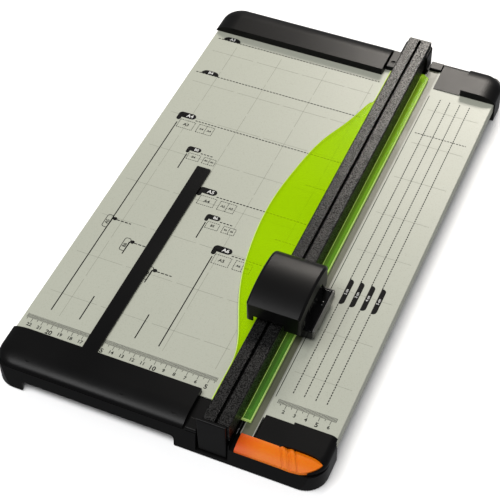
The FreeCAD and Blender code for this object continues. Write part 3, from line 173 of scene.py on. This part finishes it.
def noise(tree, vector, scale, detail=2.0, rough=0.5):
    """Soft random values around one half."""
    texture = tree.nodes.new("ShaderNodeTexNoise")
    texture.inputs["Scale"].default_value = scale
    texture.inputs["Detail"].default_value = detail
    texture.inputs["Roughness"].default_value = rough
    tree.links.new(vector, texture.inputs["Vector"])
    return texture.outputs["Fac"]


def ramp(tree, factor, stops):
    """A colour ramp with stops of (position, colour)."""
    node = tree.nodes.new("ShaderNodeValToRGB")
    elements = node.color_ramp.elements
    while len(elements) < len(stops):
        elements.new(0.5)
    for element, (position, colour) in zip(elements, stops):
        element.position = position
        element.color = (*colour, 1.0)
    tree.links.new(factor, node.inputs["Fac"])
    return node.outputs["Color"]


def spread(tree, factor, low, high, start=0.3, end=0.7):
    """Low to high while factor goes from start to end."""
    node = tree.nodes.new("ShaderNodeMapRange")
    node.inputs["From Min"].default_value = start
    node.inputs["From Max"].default_value = end
    node.inputs["To Min"].default_value = low
    node.inputs["To Max"].default_value = high
    tree.links.new(factor, node.inputs["Value"])
    return node.outputs["Result"]


def blend(tree, factor, first, second):
    """A mix of two colours, each a fixed colour or a socket."""
    mix = tree.nodes.new("ShaderNodeMix")
    mix.data_type = "RGBA"
    for key, colour in (("A", first), ("B", second)):
        if isinstance(colour, tuple):
            mix.inputs[key].default_value = (*colour, 1.0)
        else:
            tree.links.new(colour, mix.inputs[key])
    if isinstance(factor, float):
        mix.inputs["Factor"].default_value = factor
    else:
        tree.links.new(factor, mix.inputs["Factor"])
    return mix.outputs["Result"]


def along_axis(tree, vector, axis, start, end):
    """0 to 1 while one part of the vector goes from start to end."""
    parts = tree.nodes.new("ShaderNodeSeparateXYZ")
    tree.links.new(vector, parts.inputs["Vector"])
    return spread(tree, parts.outputs[axis], 0.0, 1.0, start, end)


def bump(tree, shader, height, depth):
    """Relief of the given depth in metres."""
    node = tree.nodes.new("ShaderNodeBump")
    node.inputs["Strength"].default_value = 1.0
    node.inputs["Distance"].default_value = depth
    tree.links.new(height, node.inputs["Height"])
    tree.links.new(node.outputs["Normal"], shader.inputs["Normal"])


def textured(name, dark, light, low, high, grain, depth, blotch=9.0, specular=0.5):
    """A moulded or painted surface: two close colours in soft blotches, roughness from low to
    high, and a grain of the given scale per metre and depth in metres."""
    even = {"Base Color": (*light, 1.0), "Roughness": high, "Specular IOR Level": specular}
    material, tree, shader = new_material(name, even)
    place = coordinates(tree)
    soft = noise(tree, place, blotch, 3.0)
    fine = noise(tree, place, grain, 2.0, 0.6)
    tree.links.new(ramp(tree, soft, [(0.3, dark), (0.7, light)]), shader.inputs["Base Color"])
    tree.links.new(spread(tree, soft, low, high), shader.inputs["Roughness"])
    bump(tree, shader, fine, depth)
    return material


def black_plastic():
    return textured("black_plastic", (0.0014, 0.0014, 0.0015), (0.0024, 0.0023, 0.0023),
                    0.29, 0.37, 1500.0, 0.00003, specular=0.125)


def gloss_black():
    return textured("gloss_black", (0.0012, 0.0012, 0.0014), (0.002, 0.002, 0.002),
                    0.1, 0.16, 400.0, 0.00001, specular=0.2)


def black_rubber():
    return textured("black_rubber", (0.012, 0.012, 0.012), (0.022, 0.021, 0.02), 0.7, 0.85, 900.0, 0.00005)


def grey_rubber():
    return textured("grey_rubber", (0.10, 0.10, 0.10), (0.15, 0.15, 0.15), 0.65, 0.8, 900.0, 0.00004)


def white_plastic():
    return textured("white_plastic", (0.20, 0.20, 0.175), (0.25, 0.25, 0.22), 0.4, 0.5, 1200.0, 0.00003)


def acetal():
    return textured("acetal", (0.56, 0.56, 0.52), (0.64, 0.64, 0.60), 0.35, 0.45, 900.0, 0.00002)


def smoke_plastic():
    """Dark see-through plastic."""
    material = textured("smoke_plastic", (0.07, 0.07, 0.066), (0.11, 0.108, 0.10), 0.22, 0.3, 700.0, 0.00002)
    material.node_tree.nodes["Principled BSDF"].inputs["Transmission Weight"].default_value = 0.35
    return material


def orange_plastic():
    """Orange moulding, painted darker and redder towards its left end where it is thin: painted shade in
    place of the light that passes through it.
    """
    material, tree, shader = new_material("orange_plastic", {"Specular IOR Level": 0.14})
    place = coordinates(tree)
    soft = noise(tree, place, 9.0, 3.0)
    painted_shade_from_left = along_axis(tree, place, "X", at(-4, 0).x, at(18, 0).x)
    body = ramp(tree, soft, [(0.3, (0.52, 0.105, 0.0)), (0.7, (0.60, 0.135, 0.001))])
    # painted shade: the left end is painted darker and redder than the body
    tree.links.new(blend(tree, painted_shade_from_left, (0.50, 0.055, 0.0), body), shader.inputs["Base Color"])
    tree.links.new(spread(tree, soft, 0.36, 0.46), shader.inputs["Roughness"])
    bump(tree, shader, noise(tree, place, 1400.0), 0.00003)
    shader.inputs["Subsurface Weight"].default_value = 0.25
    shader.inputs["Subsurface Radius"].default_value = (1.0, 0.35, 0.05)
    shader.inputs["Subsurface Scale"].default_value = 0.002
    return material


def deck_enamel():
    """Pale paint with a fine speckle."""
    material, tree, shader = new_material("deck_enamel", {"Specular IOR Level": 0.34})
    place = coordinates(tree)
    cloudy = noise(tree, place, 6.0, 3.0)
    speckle = noise(tree, place, 900.0, 3.0, 0.7)
    paint = ramp(tree, cloudy, [(0.3, (0.313, 0.323, 0.269)), (0.7, (0.334, 0.344, 0.288))])
    pits = ramp(tree, speckle, [(0.30, (0.243, 0.251, 0.208)), (0.46, (0.339, 0.349, 0.293))])
    tree.links.new(blend(tree, 0.5, paint, pits), shader.inputs["Base Color"])
    tree.links.new(spread(tree, cloudy, 0.36, 0.42), shader.inputs["Roughness"])
    bump(tree, shader, speckle, 0.00003)
    return material


def rail_black():
    """Coarse black powder coat, whose grains catch the light. Its even specular level is the
    mean of the grains' own, for a renderer that can't take those."""
    material, tree, shader = new_material("rail_black", {"Specular IOR Level": 0.27})
    place = coordinates(tree)
    grain = noise(tree, place, 950.0, 2.0, 0.6)
    fleck = ramp(tree, grain, [(0.44, (0.0005, 0.0005, 0.0005)), (0.62, (0.009, 0.0088, 0.0085))])
    tree.links.new(fleck, shader.inputs["Base Color"])
    tree.links.new(spread(tree, grain, 0.50, 0.30, 0.4, 0.6), shader.inputs["Roughness"])
    tree.links.new(spread(tree, grain, 0.04, 0.52, 0.43, 0.61), shader.inputs["Specular IOR Level"])
    bump(tree, shader, grain, 0.00013)
    return material


def black_steel():
    return textured("black_steel", (0.006, 0.006, 0.0065), (0.014, 0.0135, 0.013), 0.38, 0.5, 900.0, 0.00003)


def brushed(name, dark, light, low, high, lines):
    """Metal with fine lines from rolling or grinding."""
    material, tree, shader = new_material(name, {"Metallic": 1.0})
    place = coordinates(tree, lines)
    scratch = noise(tree, place, 1.0, 4.0, 0.6)
    tree.links.new(ramp(tree, scratch, [(0.3, dark), (0.7, light)]), shader.inputs["Base Color"])
    tree.links.new(spread(tree, scratch, low, high), shader.inputs["Roughness"])
    bump(tree, shader, scratch, 0.00001)
    return material


def zinc_steel():
    return brushed("zinc_steel", (0.48, 0.49, 0.50), (0.60, 0.60, 0.60), 0.28, 0.42, (900.0, 120.0, 900.0))


def blade_steel():
    return brushed("blade_steel", (0.66, 0.67, 0.69), (0.76, 0.77, 0.78), 0.14, 0.24, (2500.0, 700.0, 700.0))


def mat_plastic():
    """Soft olive-grey cutting mat, scored lengthwise by the blade."""
    material, tree, shader = new_material("mat_plastic", {"Specular IOR Level": 0.36})
    place = coordinates(tree)
    scores = noise(tree, coordinates(tree, (5200.0, 9.0, 1.0)), 1.0, 4.0, 0.7)
    cloudy = noise(tree, place, 30.0, 3.0)
    tint = ramp(tree, scores, [(0.30, (0.055, 0.058, 0.038)), (0.48, (0.082, 0.086, 0.056)),
                               (0.75, (0.11, 0.114, 0.078))])
    tree.links.new(tint, shader.inputs["Base Color"])
    tree.links.new(spread(tree, cloudy, 0.3, 0.4), shader.inputs["Roughness"])
    bump(tree, shader, scores, 0.00004)
    return material


def green_tints(tree, soft):
    """The acrylic's own colour, a painted glow and the tint of what shows through: they change at the
    rail's right side. The narrow strip there is painted dark at the front as painted shade of the rail, is
    painted lighter and yellower towards the rear as painted light, and gets the painted glow."""
    place = coordinates(tree)
    strip = along_axis(tree, place, "X", RAIL_SIDE - MM, RAIL_SIDE + MM)
    painted_light_rearward = along_axis(tree, place, "Y", at(0, 60).y, at(0, 400).y)
    wing = ramp(tree, soft, [(0.3, (0.56, 0.84, 0.002)), (0.7, (0.60, 0.88, 0.004))])
    # painted shade at the strip's front and painted light towards its rear, in its colour and in its
    # see-through tint
    slim_painted_shade_and_light = blend(tree, painted_light_rearward, (0.16, 0.42, 0.08), (0.55, 0.90, 0.03))
    slim_through_painted_shade_and_light = blend(tree, painted_light_rearward, (0.50, 0.80, 0.30), (0.74, 0.92, 0.30))
    body = blend(tree, strip, wing, slim_painted_shade_and_light)
    # painted glow: only the strip emits a little light, to brighten it in the rail's shadow
    painted_glow = blend(tree, strip, (0.0, 0.0, 0.0), (0.055, 0.10, 0.012))
    through = blend(tree, strip, (0.80, 0.94, 0.06), slim_through_painted_shade_and_light)
    return body, painted_glow, through


def flatness(tree):
    """1 on level faces and 0 on bevels and upright ones."""
    place = tree.nodes.new("ShaderNodeTexCoord")
    turn = tree.nodes.new("ShaderNodeSeparateXYZ")
    size = tree.nodes.new("ShaderNodeMath")
    size.operation = "ABSOLUTE"
    tree.links.new(place.outputs["Normal"], turn.inputs["Vector"])
    tree.links.new(turn.outputs["Z"], size.inputs[0])
    return spread(tree, size.outputs["Value"], 0.0, 1.0, 0.62, 0.95)


def clear_green():
    """Fluorescent green acrylic: half seen through, half its own green. Its bevelled and upright edges are
    painted palest and less see-through, a painted edge glow, and the narrow strip beside the rail is painted
    deeper as painted shade of the rail, with a painted glow that brightens it in the rail's shadow."""
    even = {"Specular IOR Level": 0.12, "Emission Strength": 1.0}
    material, tree, shader = new_material("clear_green", even)
    soft = noise(tree, coordinates(tree), 12.0, 2.0)
    face = flatness(tree)
    body, painted_glow, tint = green_tints(tree, soft)
    # level faces take the acrylic's colour; bevels and upright faces are painted pale and less see-through,
    # a painted edge glow
    tree.links.new(blend(tree, face, (0.80, 0.98, 0.34), body), shader.inputs["Base Color"])
    # the painted glow goes into the emission
    tree.links.new(painted_glow, shader.inputs["Emission Color"])
    tree.links.new(spread(tree, soft, 0.12, 0.18), shader.inputs["Roughness"])
    through = tree.nodes.new("ShaderNodeBsdfTransparent")
    tree.links.new(tint, through.inputs["Color"])
    choose = tree.nodes.new("ShaderNodeMixShader")
    tree.links.new(spread(tree, face, 0.8, 0.22, 0.0, 1.0), choose.inputs["Fac"])
    tree.links.new(through.outputs["BSDF"], choose.inputs[1])
    tree.links.new(shader.outputs["BSDF"], choose.inputs[2])
    tree.links.new(choose.outputs["Shader"], tree.nodes["Material Output"].inputs["Surface"])
    return material


def ink(name, dark, light):
    """Screen printing, slightly uneven."""
    return textured(name, dark, light, 0.5, 0.62, 700.0, 0.000008, blotch=60.0, specular=0.06)


def pale_floor():
    return textured("pale_floor", (0.90, 0.90, 0.90), (0.93, 0.93, 0.93), 0.8, 0.9, 60.0, 0.0001)


SLOT_MATERIALS = {
    "black_plastic": black_plastic,
    "gloss_black": gloss_black,
    "smoke_plastic": smoke_plastic,
    "orange_plastic": orange_plastic,
    "clear_green": clear_green,
    "white_plastic": white_plastic,
    "mat_plastic": mat_plastic,
    "deck_enamel": deck_enamel,
    "rail_black": rail_black,
    "zinc_steel": zinc_steel,
    "black_steel": black_steel,
    "blade_steel": blade_steel,
    "black_rubber": black_rubber,
    "grey_rubber": grey_rubber,
    "acetal": acetal,
}


def dress_frame():
    """Every CAD node gets the material of its slot."""
    made = {slot: build() for slot, build in SLOT_MATERIALS.items()}
    for subpart in frame["record"]["subparts"]:
        node = frame["nodes"][subpart["node"]]
        node.data.materials.clear()
        node.data.materials.append(made[subpart["material_slot"]])


# ---------------------------------------------------------------- printed marks

# heights over the deck, in mm (the ink's underside lies just inside the plate)
INK_LOW = -0.02
INK_HIGH = 0.04
LETTER_HIGH = 0.07

# widths of printed lines, in mm
LINE = 1.05
FINE = 0.65
GUIDE = 0.9
TICK = 0.42
GRID = 0.45
GRID_FINE = 0.4

# dashes, as (length, step) in mm
DASH = (2.3, 3.4)
LONG_DASH = (3.2, 4.2)
BOX_DASH = (1.3, 2.0)
GUIDE_DASH = (2.1, 3.0)
GRID_DASH = (46.0, 50.0)

BOLD = 0.022             # how much a letter's stroke is widened, as a share of its size
WELD = 0.0005            # a letter's points closer than this are one, in mm


def new_piece(name, bm, material, body):
    """A visible piece that rides on a body."""
    bmesh.ops.recalc_face_normals(bm, faces=bm.faces)
    mesh = bpy.data.meshes.new(name)
    bm.to_mesh(mesh)
    bm.free()
    piece = bpy.data.objects.new(name, mesh)
    bpy.context.scene.collection.objects.link(piece)
    mesh.materials.append(material)
    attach(piece, body)


def add_slab(bm, outline):
    """A closed flat prism of ink over an outline of (x, y) points in mm."""
    lower = [bm.verts.new(at(x, y, INK_LOW)) for x, y in outline]
    upper = [bm.verts.new(at(x, y, INK_HIGH)) for x, y in outline]
    bm.faces.new(lower[::-1])
    bm.faces.new(upper)
    for i in range(len(outline)):
        j = (i + 1) % len(outline)
        bm.faces.new((lower[i], lower[j], upper[j], upper[i]))


def add_bar(bm, x0, y0, x1, y1):
    add_slab(bm, [(x0, y0), (x1, y0), (x1, y1), (x0, y1)])


def across(bm, x0, x1, y, width=LINE):
    add_bar(bm, x0, y - width / 2, x1, y + width / 2)


def along(bm, x, y0, y1, width=LINE):
    add_bar(bm, x - width / 2, y0, x + width / 2, y1)


def dashed_across(bm, x0, x1, y, width=LINE, dashes=DASH):
    dash, step = dashes
    x = x0
    while x < x1:
        across(bm, x, min(x + dash, x1), y, width)
        x += step


def dashed_along(bm, x, y0, y1, width=LINE, dashes=DASH):
    dash, step = dashes
    y = y0
    while y < y1:
        along(bm, x, y, min(y + dash, y1), width)
        y += step


def arc(cx, cy, r, start, end, steps=8):
    """Points on a circle from one angle to another, in degrees."""
    angles = [math.radians(start + (end - start) * i / steps) for i in range(steps + 1)]
    return [(cx + r * math.cos(a), cy + r * math.sin(a)) for a in angles]


def label_outline(x, y, long, tall):
    """A label that sits on its line at y with a round tail hooked down over the corner x."""
    r = tall * 0.5
    tail = r * 0.62
    outline = arc(x + long - r, y + tall - r, r, -90, 90)
    outline += arc(x + r, y + tall - r, r, 90, 180)
    outline += arc(x + tail, y - tail, tail, 180, 360)
    outline += [(x + 2 * tail, y), (x + long - r, y)]
    return outline


def dashed_box(bm, x0, y0, x1, y1):
    for y in (y0, y1):
        dashed_across(bm, x0, x1, y, FINE, BOX_DASH)
    for x in (x0, x1):
        dashed_along(bm, x, y0, y1, FINE, BOX_DASH)


# Paper sizes in mm: an upright sheet reaches (-wide, tall) from the corner of stop and cut.
A_SIZES = {"A4": (210, 297), "A5": (148, 210), "A6": (105, 148)}
B_SIZES = {"B5": (182, 257), "B6": (128, 182)}
FLAT_SIZES = {"A5": (210, 148), "B6": (182, 128), "A6": (148, 105)}
WIDE_SIZES = {"A3": 420, "B4": 364}
TWICE = {"A4": "A3", "A5": "A4", "A6": "A5", "B5": "B4", "B6": "B5"}
A_LABEL = (18.5, 7.4)    # length and height of a label
B_LABEL = (14.2, 5.8)
MARK_END = -33.0         # a printed line runs to the rail
FOOT_END = 29.5          # the upright lines start this far behind the stop
A_UPRIGHTS = ((-210, 289), (-105, 141))         # x and top of their upright lines
B_SHORT_TOP = 58.0       # where the short upright lines of the B sheets end
B_NEAR_RAIL = -60.0      # where their fine lines to the rail start
DOT = 2.1                # radius of the dot on a flat sheet's corner
WIDE_LEFT = -223.5       # where the lines of the widest sheets start
WIDE_LABEL = (-212.4, -205.0, 5.8)      # middles of a label's two quarter rounds, and their radius


def size_boxes(bm, x, y, wide, tall, gap):
    """The small boxes below a label: one sheet, and a sheet folded in half."""
    dashed_box(bm, x, y - tall, x + wide, y)
    second = x + wide + gap
    dashed_box(bm, second, y - tall, second + wide / 2, y)
    dashed_box(bm, second + wide / 2, y - tall, second + wide, y)


def draw_upright_sheets(bm):
    """Labels, fold boxes and lines of the sheets that stand upright on the stop."""
    for wide, tall in A_SIZES.values():
        add_slab(bm, label_outline(-wide - 3.2, tall, *A_LABEL))
        size_boxes(bm, -wide + 2.0, tall - 3.0, 16.2, 11.2, 4.5)
        dashed_across(bm, -wide + 16.5, MARK_END, tall)
    for wide, tall in B_SIZES.values():
        add_slab(bm, label_outline(-wide - 2.6, tall, *B_LABEL))
        size_boxes(bm, -wide + 1.8, tall - 3.0, 12.4, 8.2, 4.0)
        dashed_across(bm, -wide + 12.5, -wide + 26.0, tall)
        along(bm, -wide, tall - 26.0, tall - 5.0)
        dashed_across(bm, B_NEAR_RAIL, MARK_END, tall, FINE)
        along(bm, -wide, FOOT_END, B_SHORT_TOP)
    for x, top in A_UPRIGHTS:
        along(bm, x, FOOT_END, top)


def draw_flat_sheets(bm):
    """Dots and lines at the corners of the sheets laid flat."""
    for wide, tall in FLAT_SIZES.values():
        add_slab(bm, arc(-wide + 2.6, tall + 0.6, DOT, 0, 330, 14))
        dashed_across(bm, -wide + 4.6, -wide + 19.5, tall, LINE, LONG_DASH)
        along(bm, -wide, tall - 15.5, tall)


def draw_wide_sheets(bm):
    """Lines of the sheets as wide as the deck, each with a half-round label."""
    left, right, r = WIDE_LABEL
    for tall in WIDE_SIZES.values():
        dashed_across(bm, WIDE_LEFT, MARK_END - 12.0, tall)
        add_slab(bm, arc(right, tall, r, 0, 90, 6) + arc(left, tall, r, 90, 180, 6))


SHORTEST = 0.05          # a shorter stretch of a line is left out


def closed_line(bm, outline):
    """A fine line along a closed outline, a slab for each stretch."""
    for (ax, ay), (bx, by) in zip(outline, outline[1:] + outline[:1]):
        run = math.hypot(bx - ax, by - ay)
        if run < SHORTEST:
            continue
        nx = (ay - by) / run * FINE / 2
        ny = (bx - ax) / run * FINE / 2
        add_slab(bm, [(ax + nx, ay + ny), (ax - nx, ay - ny), (bx - nx, by - ny), (bx + nx, by + ny)])


FLAT_LABEL = (5.4, 1.4, 2.2)            # width, rise over the line and corner radius


def draw_flat_labels(bm):
    """Outlined labels of the sheets laid flat, turned along their upright lines."""
    breadth, rise, r = FLAT_LABEL
    for wide, tall in FLAT_SIZES.values():
        x0 = -wide - breadth
        x1 = -wide
        outline = arc(x0 + r, tall + rise, r, 180, 90, 5) + arc(x1 - 1.6, tall + rise, r, 90, 0, 5)
        outline += [(x1 + 0.2, tall - 12.0)] + arc(x0 + r, tall - 9.8, r, 270, 180, 5)
        closed_line(bm, outline)


CUT_GUIDES = (20.4, 30.4, 40.6, 50.7)   # x of the lines beside the mat
GUIDE_ENDS = (28.6, 418.0)
GUIDE_LABEL = (133.6, 164.0, 4.7)       # y of both ends of the labels on them, and their width
MAT_LINE = (8.2, 20.0, 420.0)           # x, and y of both ends
RIGHT_SIDE = (12.0, 64.0)               # x of a line right of the mat


def draw_guides(bm):
    front, rear = GUIDE_ENDS
    low, high, wide = GUIDE_LABEL
    r = wide * 0.75
    for x in CUT_GUIDES:
        dashed_along(bm, x, front, low, GUIDE, GUIDE_DASH)
        dashed_along(bm, x, high, rear, GUIDE, GUIDE_DASH)
        left = x - 0.3
        outline = [(left, low), (left, high)]
        outline += arc(left + wide - r, high - r, r, 90, 0, 5)
        outline += arc(left + wide - r, low + r, r, 0, -90, 5)
        add_slab(bm, outline)
    along(bm, *MAT_LINE, FINE)
    dashed_across(bm, *RIGHT_SIDE, WIDE_SIZES["B4"], GUIDE, GUIDE_DASH)


RULES = ((44, 226, -1), (12, 64, 1))    # first and last mm, and the way they run
RULE_REAR = 18.8
TICKS = ((10, 8.4), (5, 6.2), (1, 4.4))  # lengths of the ticks at multiples of these


def draw_ruler(bm, first, last, way):
    """A millimetre rule from first to last, longer at 5 and at 10."""
    for n in range(first, last + 1):
        reach = next(length for every, length in TICKS if n % every == 0)
        along(bm, way * n, RULE_REAR - reach, RULE_REAR, TICK)


GRID_ROWS = range(50, 401, 50)
GRID_COLUMNS = range(-200, -49, 50)
GRID_ENDS = (26.0, 414.0)
GRID_RIGHT = (13.0, 65.0)


def draw_grid(bm):
    """Fine lines every 50 mm, with gaps where they would cross."""
    for y in GRID_ROWS:
        dashed_across(bm, DECK_LEFT + 8.0, MARK_END - 14.0, y, GRID, GRID_DASH)
    for x in GRID_COLUMNS:
        dashed_along(bm, x, *GRID_ENDS, GRID, GRID_DASH)
    for y in GRID_ROWS:
        across(bm, *GRID_RIGHT, y, GRID_FINE)


def word_mesh(text, size):
    """A word's solid letters, centred on the origin, in mm."""
    curve = bpy.data.curves.new("word", "FONT")
    curve.body = text
    curve.size = size
    curve.align_x = "CENTER"
    curve.align_y = "CENTER"
    curve.resolution_u = 3
    curve.offset = size * BOLD
    curve.extrude = (LETTER_HIGH - INK_LOW) / 2
    letters = bpy.data.objects.new("word", curve)
    mesh = bpy.data.meshes.new_from_object(letters)
    bpy.data.objects.remove(letters)
    bpy.data.curves.remove(curve)
    return mesh


def add_text(words, name, material):
    """One piece for many short words: (text, x, y, size, turn) with x and y at the middle."""
    bm = bmesh.new()
    for text, x, y, size, turn in words:
        mesh = word_mesh(text, size)
        letter_bm = bmesh.new()
        letter_bm.from_mesh(mesh)
        bmesh.ops.remove_doubles(letter_bm, verts=letter_bm.verts, dist=WELD)
        c = math.cos(math.radians(turn))
        s = math.sin(math.radians(turn))
        for vert in letter_bm.verts:
            px, py, pz = vert.co
            vert.co = at(x + px * c - py * s, y + px * s + py * c, (LETTER_HIGH + INK_LOW) / 2 + pz)
        letter_bm.to_mesh(mesh)
        letter_bm.free()
        bm.from_mesh(mesh)
        bpy.data.meshes.remove(mesh)
    new_piece(name, bm, material, "base")


def rule_numbers(first, last, way):
    """The centimetres of a rule, larger and lower at every fifth."""
    words = []
    for n in range(first, last + 1):
        y, size = (6.2, 6.4) if n % 5 == 0 else (7.6, 4.8)
        words.append((str(n), way * 10.0 * n, y, size, 0.0))
    return words


def box_words(sizes, drop, places, large, small):
    """The words in the boxes below the labels: the sheet twice this size, and this one on both
    of its halves."""
    words = []
    for name, (wide, tall) in sizes.items():
        for text, place, size in zip((TWICE[name], name, name), places, (large, small, small)):
            words.append((text, -wide + place, tall - drop, size, 0.0))
    return words


def black_words():
    words = rule_numbers(5, 22, -1) + rule_numbers(2, 6, 1)
    words += box_words(A_SIZES, 8.8, (10.2, 26.8, 34.9), 5.0, 3.6)
    words += box_words(B_SIZES, 7.1, (8.0, 21.2, 27.4), 3.8, 2.8)
    words += [(name, -wide - 2.6, tall - 5.2, 4.6, 90.0) for name, (wide, tall) in FLAT_SIZES.items()]
    return words


def white_words():
    words = [(name, -wide + 9.0, tall + 3.7, 5.8, 0.0) for name, (wide, tall) in A_SIZES.items()]
    words += [(name, -wide + 6.8, tall + 2.9, 4.4, 0.0) for name, (wide, tall) in B_SIZES.items()]
    words += [(name, -208.6, tall + 2.9, 5.0, 0.0) for name, tall in WIDE_SIZES.items()]
    words += [(f"{number} cm", x + 1.9, 148.8, 3.4, 90.0) for number, x in enumerate(CUT_GUIDES, 2)]
    return words


def add_print():
    """All the deck's printing, in three inks."""
    black = ink("black_ink", (0.003, 0.003, 0.003), (0.006, 0.006, 0.006))
    white = ink("white_ink", (0.50, 0.50, 0.48), (0.56, 0.56, 0.54))
    grey = ink("grey_ink", (0.22, 0.226, 0.19), (0.25, 0.256, 0.215))
    marks = bmesh.new()
    for draw in (draw_upright_sheets, draw_flat_sheets, draw_wide_sheets, draw_flat_labels, draw_guides):
        draw(marks)
    new_piece("printed_marks", marks, black, "base")
    rules = bmesh.new()
    for first, last, way in RULES:
        draw_ruler(rules, first, last, way)
    new_piece("printed_rulers", rules, black, "base")
    grid = bmesh.new()
    draw_grid(grid)
    new_piece("printed_grid", grid, grey, "base")
    add_text(black_words(), "printed_numbers", black)
    add_text(white_words(), "printed_letters", white)


# ---------------------------------------------------------------- springs


def add_spring(node, body):
    """The node's own coils as a piece of its own that rides on a body, in place of the node, which is
    hidden."""
    source = frame["nodes"][node]
    spring = bpy.data.objects.new(node + "_coils", source.data.copy())
    spring.matrix_world = source.matrix_world.copy()
    bpy.context.scene.collection.objects.link(spring)
    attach(spring, body)
    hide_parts(node)
    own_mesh(spring)


# ---------------------------------------------------------------- all together

add_camera()
add_studio()
add_floor()
dress_frame()
add_print()
add_spring("cap_springs", "slider")
add_spring("latch_spring", "rail")
